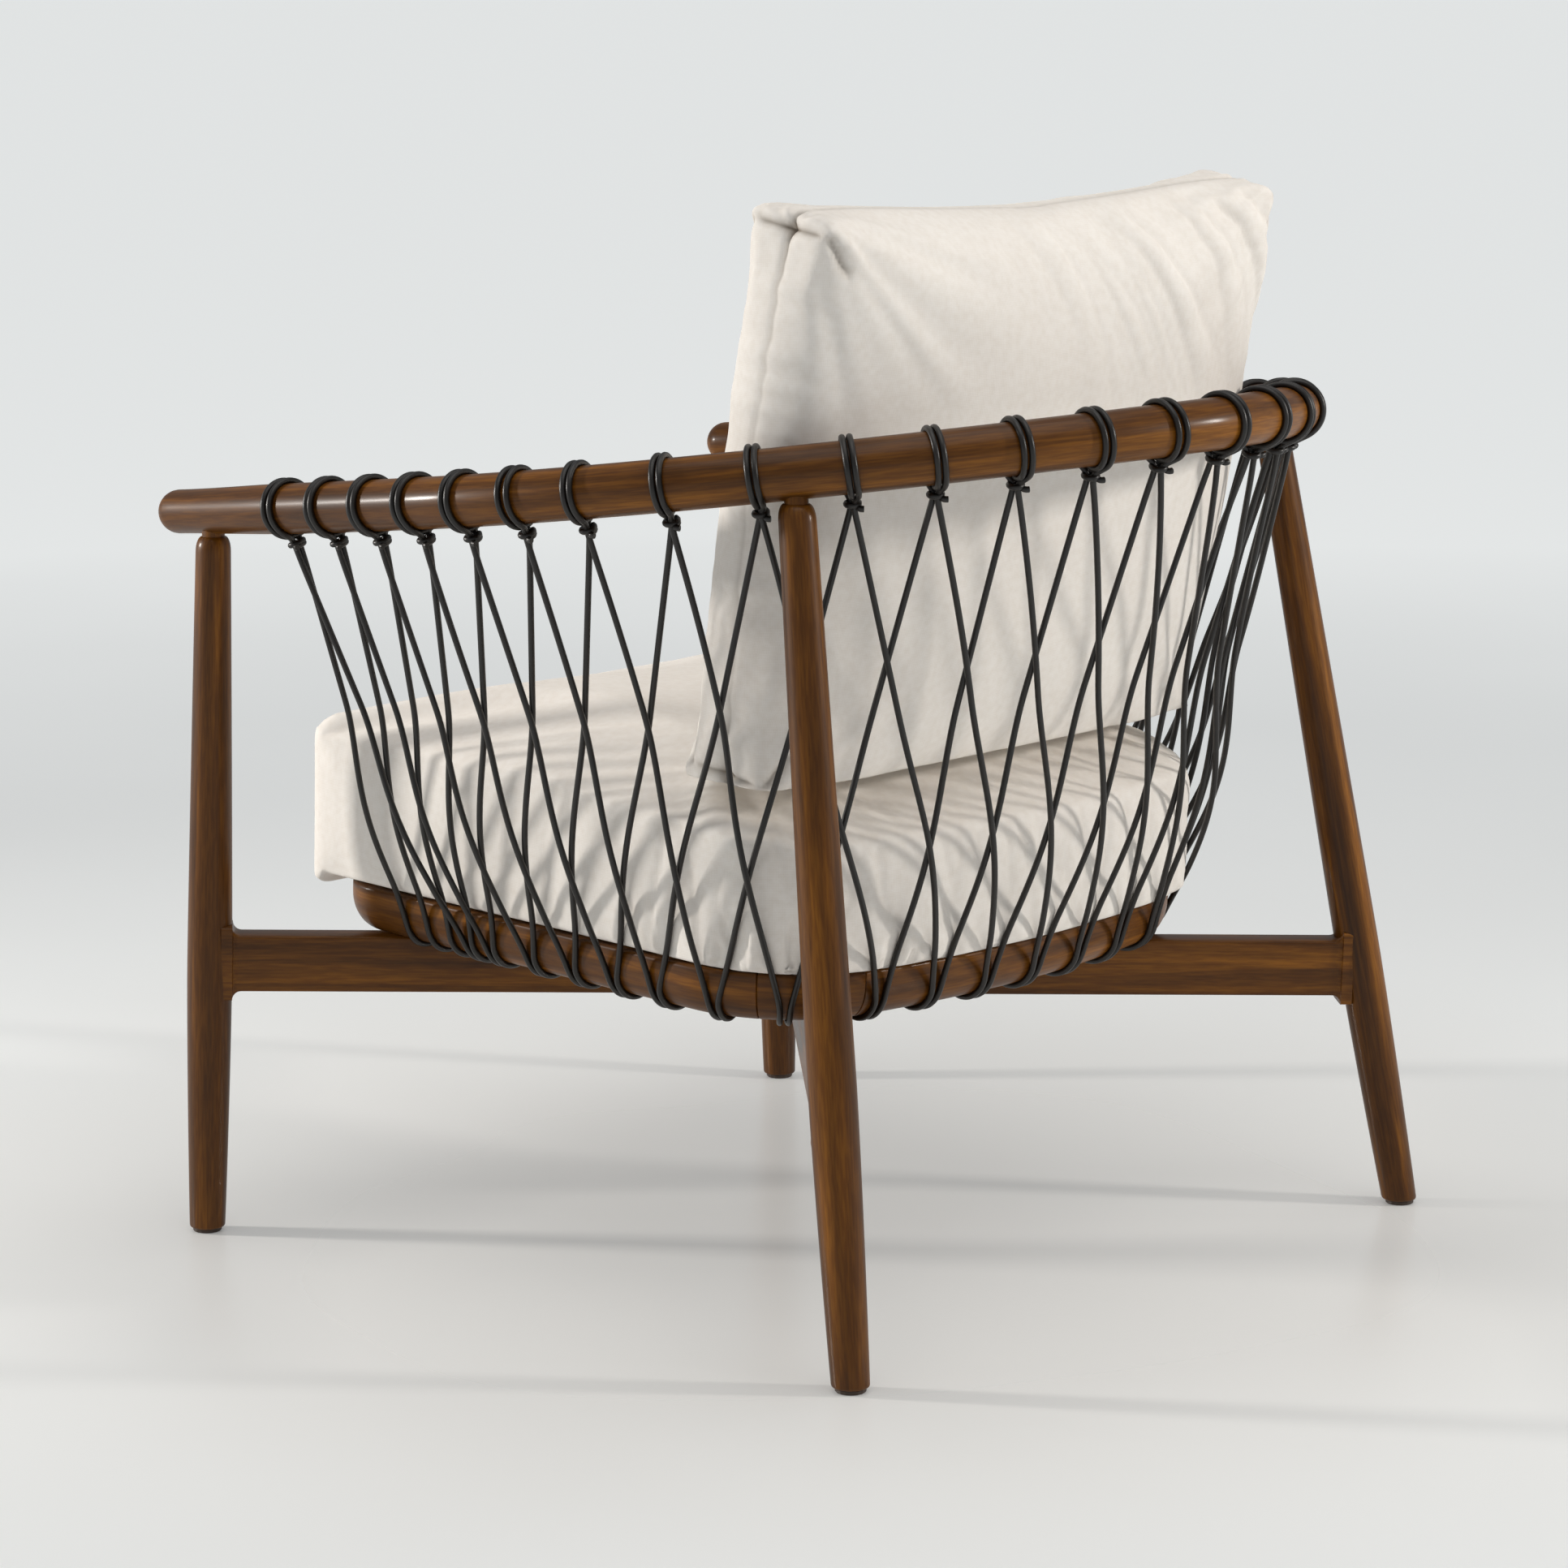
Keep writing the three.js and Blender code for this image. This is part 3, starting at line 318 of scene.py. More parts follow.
# %% Stained and lacquered beech
STREAK = 9e-3      # width of the soft streaks across the grain
FLECK = 1.6e-3     # width of the fine flecks, real ones are half of this
lacquered_beech, tree, bsdf = new_material(
    "lacquered_beech", Roughness=0.5, IOR=1.45, Specular_IOR_Level=0.18, Coat_Weight=0.25,
    Coat_Roughness=0.2, Coat_IOR=1.45,
)
plank = node(tree, "ShaderNodeAttribute", {"attribute_name": "plank"}).outputs["Vector"]
streaks = vector_math(tree, "MULTIPLY", plank, (1 / STREAK, 1 / STREAK, 0.05 / STREAK))
broad = soft_noise(tree, streaks, 0.55, 3.0, Roughness=0.55, Distortion=0.6)
flecks = vector_math(tree, "MULTIPLY", plank, (1 / FLECK, 1 / FLECK, 0.07 / FLECK))
fine = soft_noise(tree, flecks, 1.0)
tone = ramp(tree, broad, (0.28, "#3C2203"), (0.72, "#8C5A16"), (0.5, "#5E390A"))
fleck_tone = ramp(tree, fine, (0.40, "#BC9E78"), (0.62, "#FFF3DE"))
dress(tree, bsdf, Base_Color=multiplied(tree, 0.55, tone, fleck_tone),
      Roughness=remap(tree, broad, 0.38, 0.55), Normal=bump(tree, fine, 0.08, 0.0003))
print("made", lacquered_beech.name)

# %% [markdown]
# The lacing is round leather cord, five millimetres thick and dyed near black. Cut hide
# that has been rounded and waxed has a soft sheen and a fine pebbled grain.

# %% Waxed leather cord
waxed_leather, tree, bsdf = new_material(
    "waxed_leather", Base_Color=linear("#1B1714"), Roughness=0.4, IOR=1.5,
)
place = object_place(tree)
pebble = node(tree, "ShaderNodeTexVoronoi", Vector=place, Scale=900.0).outputs["Distance"]
blotch = soft_noise(tree, place, 70.0, 3.0)
dress(tree, bsdf, Base_Color=ramp(tree, blotch, (0.3, "#0C0A08"), (0.75, "#1A1511")),
      Roughness=remap(tree, blotch, 0.3, 0.5), Normal=bump(tree, pebble, 0.15, 0.0002))
print("made", waxed_leather.name)

# %% [markdown]
# The covers are undyed cotton canvas, plainly woven from threads under half a millimetre
# apart. That is too fine to see, so the weave is drawn three times as coarse. It is made
# of one wave along each axis, and a face shows only the two waves that run across it, so
# it needs no unwrapping and no seam breaks it. Slightly thicker threads give faint slubs.

# %% Undyed cotton canvas
THREAD = 1.3e-3
cotton_canvas, tree, bsdf = new_material(
    "cotton_canvas", Roughness=0.92, IOR=1.45, Sheen_Weight=0.15, Sheen_Roughness=0.6,
    Sheen_Tint=linear("#FFF6EA"),
)
coords = node(tree, "ShaderNodeTexCoord")
place = coords.outputs["Object"]
facing = vector_math(tree, "ABSOLUTE", coords.outputs["Normal"])
shown = vector_math(tree, "SUBTRACT", (1.0, 1.0, 1.0), facing)
phase = vector_math(tree, "SCALE", place, Scale=2 * math.pi / THREAD)
weave = vector_math(tree, "DOT_PRODUCT", vector_math(tree, "SINE", phase), shown)
slub = soft_noise(tree, place, 160.0)
yarn = number_math(tree, "MULTIPLY_ADD", weave, 0.12, slub)
undyed = ramp(tree, soft_noise(tree, place, 9.0, 3.0), (0.2, "#EDE7E0"), (0.8, "#F5F1EB"))
speck = ramp(tree, yarn, (0.2, "#F3F0EC"), (0.7, "#FFFFFF"))
cloth_tone = multiplied(tree, 0.7, undyed, speck)
# The seam attribute holds painted shade: it darkens the cloth in the grooves of seams, creases,
# folds and knots.
painted_groove_shade = node(tree, "ShaderNodeAttribute", {"attribute_name": "seam"}).outputs["Fac"]
dress(tree, bsdf, Base_Color=multiplied(tree, painted_groove_shade, cloth_tone, linear("#8F867B")),
      Normal=bump(tree, yarn, 0.22, 0.0004))
print("made", cotton_canvas.name)

# %% [markdown]
# Under the seat cushion lie straps of black elastic webbing, a coarse weave of rubber
# threads wrapped in yarn. The rest is small hardware: zinc plated screws and nylon glides.

# %% Webbing, screws and glides
elastic_webbing, tree, bsdf = new_material(
    "elastic_webbing", Base_Color=linear("#2B2825"), Roughness=0.85,
)
place = object_place(tree)
ribs, picks = [
    node(tree, "ShaderNodeTexWave", {"bands_direction": axis}, Vector=place, Scale=scale)
    for axis, scale in (("Y", 150.0), ("X", 90.0))
]
cross = number_math(tree, "MULTIPLY", ribs.outputs["Fac"], picks.outputs["Fac"])
dress(tree, bsdf, Base_Color=ramp(tree, cross, (0.0, "#1D1B19"), (0.8, "#413C37")),
      Normal=bump(tree, cross, 0.6, 0.0008))


def worn_material(name, colour, scale, smooth, rough, **shader):
    """A plain material whose roughness wanders between two values."""
    made, tree, bsdf = new_material(name, Base_Color=linear(colour), **shader)
    wear = soft_noise(tree, object_place(tree), scale)
    dress(tree, bsdf, Roughness=remap(tree, wear, smooth, rough))
    return made


frame_finishes = {
    "web": elastic_webbing,
    "ring_screw": worn_material("zinc_plate", "#C3C6CA", 600.0, 0.28, 0.5, Metallic=1.0,
                                Roughness=0.35),
    "glide": worn_material("moulded_nylon", "#3A2A1E", 400.0, 0.42, 0.6, Roughness=0.5),
}
for name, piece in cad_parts.items():
    for start, material in frame_finishes.items():
        if name.startswith(start):
            piece.data.materials.clear()
            piece.data.materials.append(material)
print("straps, screws and glides keep their frame shapes")


# %% [markdown]
# Every wooden piece is a loft: rings of points set one after another and skinned. A ring
# is first laid out on the straight plank and then carried to its place on the bent path,
# so the loft knows both, and the plank places become the attribute that the grain reads.

# %% Lofting wooden pieces
def linked(name, data):
    """A new object in the scene."""
    made = bpy.data.objects.new(name, data)
    bpy.context.scene.collection.objects.link(made)
    return made


def bake(piece):
    """Replaces the piece's mesh by what its modifiers make of it."""
    bpy.context.view_layer.update()
    shown = piece.evaluated_get(bpy.context.evaluated_depsgraph_get())
    made = bpy.data.meshes.new_from_object(shown)
    piece.modifiers.clear()
    piece.data = made


def give_material(mesh, material):
    mesh.materials.clear()
    mesh.materials.append(material)
    mesh.polygons.foreach_set("use_smooth", [True] * len(mesh.polygons))


def finished(name, mesh, material, smooth=35):
    piece = linked(name, mesh)
    give_material(mesh, material)
    mesh.set_sharp_from_angle(angle=math.radians(smooth))
    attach(piece, "root")
    return piece


def loft_mesh(name, rings):
    """Skins rings of points, in metres, and closes both ends."""
    count, sides = len(rings), len(rings[0])
    faces = []
    for i in range(count - 1):
        for j in range(sides):
            k = (j + 1) % sides
            low, high = i * sides, (i + 1) * sides
            faces.append((low + j, low + k, high + k, high + j))
    faces.append(tuple(reversed(range(sides))))
    faces.append(tuple(range((count - 1) * sides, count * sides)))
    mesh = bpy.data.meshes.new(name)
    mesh.from_pydata(np.concatenate(rings).tolist(), [], faces)
    return mesh


def face_outwards(mesh):
    shell = bmesh.new()
    shell.from_mesh(mesh)
    bmesh.ops.recalc_face_normals(shell, faces=shell.faces)
    shell.to_mesh(mesh)
    shell.free()


def set_plank(mesh, places, seed):
    """Stores where each vertex lay in its plank; the seed picks another piece of timber."""
    layer = mesh.attributes.new("plank", "FLOAT_VECTOR", "POINT")
    moved = np.asarray(places, float) + np.array([0.37, 0.21, 0.83]) * seed
    layer.data.foreach_set("vector", moved.astype(np.float32).ravel())


def wooden_loft(name, planks, carry, slot_nodes, seed, smooth=35):
    """Planks are rings of (x, y, z) in mm on the straight piece; carry bends one point."""
    rings = [np.array([carry(*spot) for spot in ring]) for ring in planks]
    mesh = loft_mesh(name, rings)
    set_plank(mesh, np.concatenate(planks) * MM, seed)
    face_outwards(mesh)
    piece = finished(name, mesh, lacquered_beech, smooth)
    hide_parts(*slot_nodes)
    return piece


def circle(radius, z, sides=40):
    turn = np.arange(sides) * 2 * math.pi / sides
    return np.stack([radius * np.cos(turn), radius * np.sin(turn), np.full(sides, z)], 1)


# %% [markdown]
# The arm hoop is turned round in section, a little thinner at its two tips, and each tip
# ends in a soft dome. On the real one, a steamed or laminated rod is bent round a form.

# %% Arm hoop
def dome(radius, reach, steps=9):
    """Radii and distances past the end of a rounded tip, from the pole to the rim."""
    turns = np.linspace(4, 90, steps) * math.pi / 180
    return [(radius * math.sin(t), reach * math.cos(t)) for t in turns]


tip = dome(HOOP_TIP_RADIUS, HOOP_TIP_RADIUS * 0.98)
rod = [circle(radius, -past) for radius, past in tip]
for along in np.linspace(0, hoop_plan.length, 241)[1:-1]:
    rod.append(circle(hoop_radius(along), along))
rod += [circle(radius, hoop_plan.length + past) for radius, past in reversed(tip)]


def bend_rod(x, y, along):
    centre, _, inward, down = hoop_at(along)
    return chair_point(*(centre + inward * x - down * y))


arm_hoop = wooden_loft("bent_arm_hoop", rod, bend_rod, ["arm_hoop"], 1)
print(arm_hoop.name, len(arm_hoop.data.polygons), "faces")


# %% [markdown]
# The legs are turned on a lathe: thickest where the cross beam enters, thinner at the
# foot and the top, with a domed shoulder and a slim tenon that goes up into the hoop.
# Each leans from its foot to the hoop, so the lathe's rings slide along that line.

# %% Turned legs
LEG_FOOT, LEG_BELLY, LEG_TOP, LEG_BELLY_HEIGHT = 14.1, 17.9, 13.7, 215
LEG_BASE, LEG_EDGE = 3.3, 2.5                 # above the glide; rounding of the foot
LEG_SHOULDER, LEG_DOME, LEG_NECK = 14, 12.0, 9.0
FRONT_LEG_AT, BACK_LEG_AT = 45, 630           # along the hoop from its tip
legs = {}
for name, foot, station in (
    ("front_left", FRONT_FOOT, FRONT_LEG_AT), ("back_left", BACK_FOOT, BACK_LEG_AT),
    ("back_right", (-BACK_FOOT[0], BACK_FOOT[1]), hoop_plan.length - BACK_LEG_AT),
    ("front_right", (-FRONT_FOOT[0], FRONT_FOOT[1]), hoop_plan.length - FRONT_LEG_AT),
):
    centre = hoop_at(station)[0]
    legs[name] = {"foot": np.array([*foot, 0.0]), "head": centre,
                  "top": centre[2] - hoop_radius(station)}


def leg_radius(leg, height):
    if height < LEG_BELLY_HEIGHT:
        drop = 1 - height / LEG_BELLY_HEIGHT
        return LEG_BELLY - (LEG_BELLY - LEG_FOOT) * drop ** 1.5
    rise = (height - LEG_BELLY_HEIGHT) / (leg["top"] - LEG_BELLY_HEIGHT)
    return LEG_BELLY - (LEG_BELLY - LEG_TOP) * rise ** 1.15


def leg_axis(leg, height):
    return leg["foot"] + (leg["head"] - leg["foot"]) * (height / leg["head"][2])


def leg_profile(leg):
    """Radii and heights from the foot up to the tenon."""
    above_edge, shoulder = LEG_BASE + LEG_EDGE, leg["top"] - LEG_SHOULDER
    inside_edge = leg_radius(leg, LEG_BASE) - LEG_EDGE
    edge = [(inside_edge + LEG_EDGE * math.sin(t), above_edge - LEG_EDGE * math.cos(t))
            for t in np.linspace(0, math.pi / 2, 5)]
    shaft = [(leg_radius(leg, h), h) for h in np.linspace(above_edge, shoulder, 44)[1:]]
    wider = leg_radius(leg, shoulder) - LEG_NECK
    round_top = [(LEG_NECK + wider * math.cos(t), shoulder + LEG_DOME * math.sin(t))
                 for t in np.linspace(0, math.pi / 2, 9)[1:]]
    tenon = [(LEG_NECK, leg["top"] + up) for up in (2, 8)]
    return edge + shaft + round_top + tenon


for number, (name, leg) in enumerate(legs.items()):
    rings = [circle(radius, height) for radius, height in leg_profile(leg)]

    def lean(x, y, height, leg=leg):
        axis = leg_axis(leg, height)
        return chair_point(x + axis[0], y + axis[1], height)

    wooden_loft("turned_leg_" + name, rings, lean, ["leg_" + name], 5 + number, 50)
print("legs:", ", ".join(legs))

# %% [markdown]
# Two straight beams cross under the seat and carry it. They meet in a half-lap: each
# loses half its height where the other passes, and a boolean cut makes that joint just
# as a saw would. Each end flares into its leg with a small fillet.

# %% Cross beams
BEAM_HEIGHT, BEAM_THICK, BEAM_EDGE, BEAM_FILLET = 45.6, 25.0, 2.5, 7.0
FIT = 0.3                                     # gap between pieces that touch
LAP_REACH, LAP_HIGH = 60.0, 40.0              # half length and height of the cutting block
beam_middle = -RING_HEIGHT - FIT - BEAM_HEIGHT / 2


def leg_in_seat(name):
    low = seat_local(chair_point(*leg_axis(legs[name], 0)))
    high = seat_local(chair_point(*leg_axis(legs[name], legs[name]["top"])))
    return low + (high - low) * (beam_middle - low[2]) / (high[2] - low[2])


def rounded_rectangle(half_width, half_height, corner, radius, steps):
    """Arcs of one radius round four centres, a corner's width inside the edges."""
    outline = []
    for sx, sy, first in ((1, 1, 0), (-1, 1, 90), (-1, -1, 180), (1, -1, 270)):
        for t in np.radians(np.linspace(first, first + 90, steps)):
            outline.append((sx * (half_width - corner) + radius * math.cos(t),
                            sy * (half_height - corner) + radius * math.sin(t)))
    return outline


def beam_rings(length):
    """Rounded rectangles; near each leg the height grows along a quarter circle."""
    inside, reach = 9.0, LEG_BELLY + BEAM_FILLET
    near = [inside] + [reach - BEAM_FILLET * math.cos(t) for t in np.radians(range(0, 91, 15))]
    stations = near + list(np.linspace(reach, length - reach, 30)[1:-1])
    stations += [length - s for s in reversed(near)]
    rings = []
    for s in stations:
        gap = min(s, length - s)
        into = min(1.0, max(0.0, (reach - gap) / BEAM_FILLET))
        flare = BEAM_FILLET * (1 - math.sqrt(1 - into * into))
        outline = rounded_rectangle(BEAM_THICK / 2 + 0.35 * flare, BEAM_HEIGHT / 2 + flare,
                                    BEAM_EDGE, BEAM_EDGE, 5)
        rings.append(np.array([(x, y, s) for x, y in outline]))
    return rings


def cut(piece, box):
    """Takes the box away from the piece, and drops the box."""
    modifier = piece.modifiers.new("joint", "BOOLEAN")
    modifier.operation, modifier.solver, modifier.object = "DIFFERENCE", "EXACT", box
    bake(piece)
    bpy.data.objects.remove(box)


def block(corners):
    mesh = bpy.data.meshes.new("block")
    mesh.from_pydata([tuple(c) for c in corners], [], [
        (0, 1, 2, 3), (7, 6, 5, 4), (0, 4, 5, 1), (1, 5, 6, 2), (2, 6, 7, 3), (3, 7, 4, 0)])
    face_outwards(mesh)
    return linked("block", mesh)


beams = {}
for name, first, last, lap in (
    ("beam_front_left_to_back_right", "front_left", "back_right", 1),
    ("beam_front_right_to_back_left", "front_right", "back_left", -1),
):
    start, end = leg_in_seat(first), leg_in_seat(last)
    along = unit(end - start)
    across = np.cross(along, (0, 0, 1))
    beams[name] = {"start": start, "along": along, "across": across, "lap": lap,
                   "length": np.linalg.norm(end - start), "ends": (first, last)}


def on_beam(beam, x, y, s):
    spot = beam["start"] + beam["across"] * x + beam["along"] * s
    return seat_point(spot[0], spot[1], spot[2] + y)


for number, (name, beam) in enumerate(beams.items()):
    other = next(b for key, b in beams.items() if key != name)
    rings = beam_rings(beam["length"])
    skinned = [np.array([on_beam(beam, *spot) for spot in ring]) for ring in rings]
    mesh = loft_mesh("crossing_" + name, skinned)
    face_outwards(mesh)
    piece = linked("crossing_" + name, mesh)
    crossing = -other["start"][0] / other["along"][0]
    half, far = BEAM_THICK / 2 + FIT, LAP_REACH
    levels = (-LAP_HIGH, 0.0) if beam["lap"] > 0 else (0.0, LAP_HIGH)
    corners = [on_beam(other, x, y, crossing + s) for y in levels
               for x, s in ((-half, -far), (half, -far), (half, far), (-half, far))]
    cut(piece, block(corners))
    mesh = piece.data
    bpy.data.objects.remove(piece)
    spots = np.array([seat_local(v.co) for v in mesh.vertices]) - beam["start"]
    places = np.stack([spots @ beam["across"], spots[:, 2], spots @ beam["along"]], 1) * MM
    set_plank(mesh, places, 11 + number)
    piece = finished("crossing_" + name, mesh, lacquered_beech, 40)
    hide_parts(name)
    print(name, round(beam["length"]), "mm,", len(mesh.polygons), "faces")


# %% [markdown]
# The seat ring is six lengths of one moulding, joined end to end: a flat inside, a step
# for the webbing, and an outer face that rolls under so the cord never meets an edge.
# The moulding is drawn once and carried along the ring; a hair gap shows at each joint.

# %% Seat ring
STEP_AT, STEP_DEEP = -24, -4                  # the step that the webbing lies in
SOFT_EDGE, TOP_EDGE, END_BEVEL = 1.6, 3.2, 0.6
CORNER_FROM, CORNER_TO = 403, 489             # the corner lengths, along the side


def moulding(inset=0.0):
    """The ring's section as (out, up) pairs, with the edges softened; inset shrinks it."""
    tall, edge = RING_HEIGHT - RING_LIP, SOFT_EDGE
    points = [(STEP_AT + edge, 0), (STEP_AT, -edge), (STEP_AT, STEP_DEEP),
              (-RING_WIDTH + edge, STEP_DEEP), (-RING_WIDTH, STEP_DEEP - edge),
              (-RING_WIDTH, -RING_HEIGHT + edge), (-RING_WIDTH + edge, -RING_HEIGHT),
              (-34, -RING_HEIGHT)]
    for t in np.radians(np.linspace(90, 0, 15)):
        points.append((RING_ROUND * (math.cos(t) - 1), -RING_LIP - tall * math.sin(t)))
    for t in np.radians(np.linspace(0, 90, 6)):
        points.append((TOP_EDGE * (math.cos(t) - 1), TOP_EDGE * (math.sin(t) - 1)))
    outline = np.array(points)
    middle = np.array([-RING_WIDTH / 2, -RING_HEIGHT / 2])
    size = np.array([RING_WIDTH, RING_HEIGHT]) / 2
    return middle + (outline - middle) * (1 - inset / size)


def moulding_ring(along, inset):
    section = moulding(inset)
    return np.column_stack([section, np.full(len(section), along)])


def along_ring(out, up, along):
    point, _, inward = ring_plan.at(along)
    x, y = point - inward * out
    return seat_point(x, y, up)


def straight_front(out, up, along):
    return seat_point(along, RING_FRONT_Y - out, up)


ends = [ring_plan.legs[1][0], ring_side_start + CORNER_FROM, ring_side_start + CORNER_TO]
ends += [ring_plan.length - s for s in reversed(ends)]
ring_nodes = ["ring_side_left", "ring_corner_left", "ring_back", "ring_corner_right",
              "ring_side_right"]
lengths = [(n, a + FIT / 2, b - FIT / 2, along_ring)
           for n, a, b in zip(ring_nodes, ends, ends[1:])]
front_half = RING_HALF_WIDTH - RING_FRONT_RADIUS - FIT / 2
lengths.append(("ring_front", -front_half, front_half, straight_front))
for number, (name, begin, stop, carry) in enumerate(lengths):
    steps = max(6, int((stop - begin) / 7))
    middles = np.linspace(begin + END_BEVEL, stop - END_BEVEL, steps)
    rings = [moulding_ring(begin, 0.7), *(moulding_ring(s, 0.0) for s in middles),
             moulding_ring(stop, 0.7)]
    wooden_loft("moulded_" + name, rings, carry, [name], 21 + number, 32)
print("ring of", len(lengths), "lengths")


# %% [markdown]
# The lacing is what makes the chair. Each loop of cord goes twice round the hoop, is
# hitched below it, and sends one strand straight down to the ring and one that slants
# back by three places, so that strands cross all the way round like a net. The cushion
# pushes their lower halves outwards. Every strand follows the surface between hoop and
# ring, one layer inside it or outside it, which keeps crossing cords apart.

# %% Where the lacing goes
LOOPS, LOOPS_PER_ARM, SKIP = 29, 9, 3
MIDDLE = (LOOPS + 1) / 2
LANDINGS = [(1, 39), (5, 135), (9, 312), (11, 425), (12, 503), (18, 845), (19, 922),
            (23, 1052), (28, 1221), (32, 1302)]
loop_runs = [(1, 143), (7, 467), (10, 669), (MIDDLE, hoop_plan.half)]
loop_runs += [(LOOPS + 1 - n, hoop_plan.length - d) for n, d in reversed(loop_runs[:3])]
LAYER, PAIR_GAP, MERGE = 3.1, 3.9, 0.1      # inside or outside, side by side, and joining
BOW, BOW_START = 11.0, 0.42                 # how far the cushion pushes, and from where
OFF_RING, OFF_HOOP = 0.25, 0.15             # gaps between the cord and the wood
HITCH_DROP, HITCH_LEAN = 4.5, math.radians(12)
TURNS_FROM, TURNS_SWEEP = 26.0 + math.degrees(HITCH_LEAN), 720 - 52
TIGHT_TURNS = (8, 9, 10, 21, 22)


def along_runs(runs, number):
    index = next((i for i, run in enumerate(runs) if number <= run[0]), len(runs) - 1)
    (n0, d0), (n1, d1) = runs[max(index, 1) - 1], runs[max(index, 1)]
    return d0 + (d1 - d0) * (number - n0) / (n1 - n0)


def loop_station(number):
    return along_runs(loop_runs, number)


def landing_station(number):
    return ring_side_start + along_runs(LANDINGS, number)


def on_ring(station, degrees):
    """A cord's centre on the rolled outer face: 0 degrees is upright, 90 underneath."""
    point, _, inward = ring_plan.at(station)
    tall, t = RING_HEIGHT - RING_LIP, math.radians(degrees)
    normal = unit([math.cos(t) / RING_ROUND, -math.sin(t) / tall])
    face = np.array([RING_ROUND * (math.cos(t) - 1), -RING_LIP - tall * math.sin(t)])
    out, up = face + normal * (CORD_RADIUS + OFF_RING)
    x, y = point - inward * out
    return seat_point(x, y, up), inward


def under_ring(station, inset, level):
    point, _, inward = ring_plan.at(station)
    x, y = point + inward * inset
    return seat_point(x, y, level)


def hitch_centre(station):
    centre, _, inward, down = hoop_at(station)
    hang = down * math.cos(HITCH_LEAN) + inward * math.sin(HITCH_LEAN)
    return chair_point(*(centre + hang * (hoop_radius(station) + CORD_RADIUS + HITCH_DROP)))


def strand(loop, landing, layer, steps=46):
    """From the hitch down to the ring, over the surface that the strands span."""
    top_at, foot_at = loop_station(loop), landing_station(landing) - layer * PAIR_GAP
    points = []
    for share in np.linspace(0, 1, steps):
        reach = (1 - share) * top_at + share * foot_at
        low, high = loop - 1.0, loop + SKIP + 1.0
        for _ in range(30):
            number = (low + high) / 2
            there = (1 - share) * loop_station(number) + share * landing_station(number)
            low, high = (number, high) if there < reach else (low, number)
        station = top_at if share == 0 else loop_station(low)
        inward = hoop_at(station)[2]
        foot, ring_inward = on_ring(foot_at if share == 1 else landing_station(low), 30)
        side = unit(inward[:2] * (1 - share) + ring_inward * share)
        pressed = max(0.0, share - BOW_START) / (1 - BOW_START)
        bow = BOW * math.sin(math.pi * pressed) ** 1.6
        fade = min(1.0, (1 - share) / MERGE) * min(1.0, 0.8 + share * 4)
        out = (bow + layer * LAYER * fade) * MM
        spot = hitch_centre(station) * (1 - share) + foot * share
        points.append(spot - np.array([*side, 0.0]) * out)
    return points


def tail(station):
    """From the landing round under the ring and up into its blind hole."""
    points = [on_ring(station, t)[0] for t in range(36, 90, 6)]
    below = -RING_HEIGHT - CORD_RADIUS - 0.3
    points += [under_ring(station, inset, below) for inset in (24, 28)]
    points += [under_ring(station, 31.5, below + 0.8), under_ring(station, 33, below + 3)]
    points += [under_ring(station, 33, -RING_HEIGHT + 8)]
    return points


def turns(loop):
    """Twice round the hoop, from one side of the hitch over the top to the other."""
    station = loop_station(loop)
    centre, ahead, inward, down = hoop_at(station)
    tight = loop in TIGHT_TURNS or loop % 4 == 3
    pitch = 5.5 if tight else 6.9 + 1.4 * math.sin(2.4 * loop)
    away = hoop_radius(station) + CORD_RADIUS + OFF_HOOP
    points = []
    for turned in np.linspace(0, TURNS_SWEEP, 79):
        angle = math.radians(TURNS_FROM + turned)
        spot = centre + ahead * (pitch * (turned - TURNS_SWEEP / 2) / 360)
        radial = down * math.cos(angle) + inward * math.sin(angle)
        points.append(chair_point(*(spot + radial * away)))
    return points


def lace_name(number):
    if number <= LOOPS_PER_ARM:
        return "left", f"lace_left_{number}"
    if number > LOOPS - LOOPS_PER_ARM:
        return "right", f"lace_right_{LOOPS + 1 - number}"
    return "back", f"lace_back_{number - LOOPS_PER_ARM}"


def even_path(points, step=2.6 * MM, rounds=5):
    """The same path with evenly spaced points and its kinks eased, as cord lies."""
    points = np.array(points)
    runs = np.concatenate([[0], np.cumsum(np.linalg.norm(np.diff(points, axis=0), axis=1))])
    spots = np.linspace(0, runs[-1], int(runs[-1] / step))
    even = np.stack([np.interp(spots, runs, points[:, k]) for k in range(3)], 1)
    for _ in range(rounds):
        even[1:-1] = (even[:-2] + 2 * even[1:-1] + even[2:]) / 4
    return even


lacing, lace_nodes, hitches = [{"left": [], "back": [], "right": []} for _ in range(3)]
cord_lengths = []
for loop in range(1, LOOPS + 1):
    part, cad_name = lace_name(loop)
    inner = strand(loop, loop, -1) + tail(landing_station(loop) + PAIR_GAP)
    outer = strand(loop, loop + SKIP, 1) + tail(landing_station(loop + SKIP) - PAIR_GAP)
    lacing[part].append(even_path(inner[::-1] + turns(loop) + outer))
    cord_lengths.append(np.linalg.norm(np.diff(lacing[part][-1], axis=0), axis=1).sum())
    lace_nodes[part].append(cad_name)
    hitches[part].append((loop, inner[:3], outer[:3]))
strand_points = np.concatenate([path for paths in lacing.values() for path in paths])
print("loops:", {part: len(paths) for part, paths in lacing.items()},
      "cord per loop, mm:", round(min(cord_lengths) / MM), "to", round(max(cord_lengths) / MM))


# %% [markdown]
# A hitch is a short turn of the same cord, pulled tight round both strands just below
# the rail, with the cut end left showing as a nub. One more path per loop draws it.

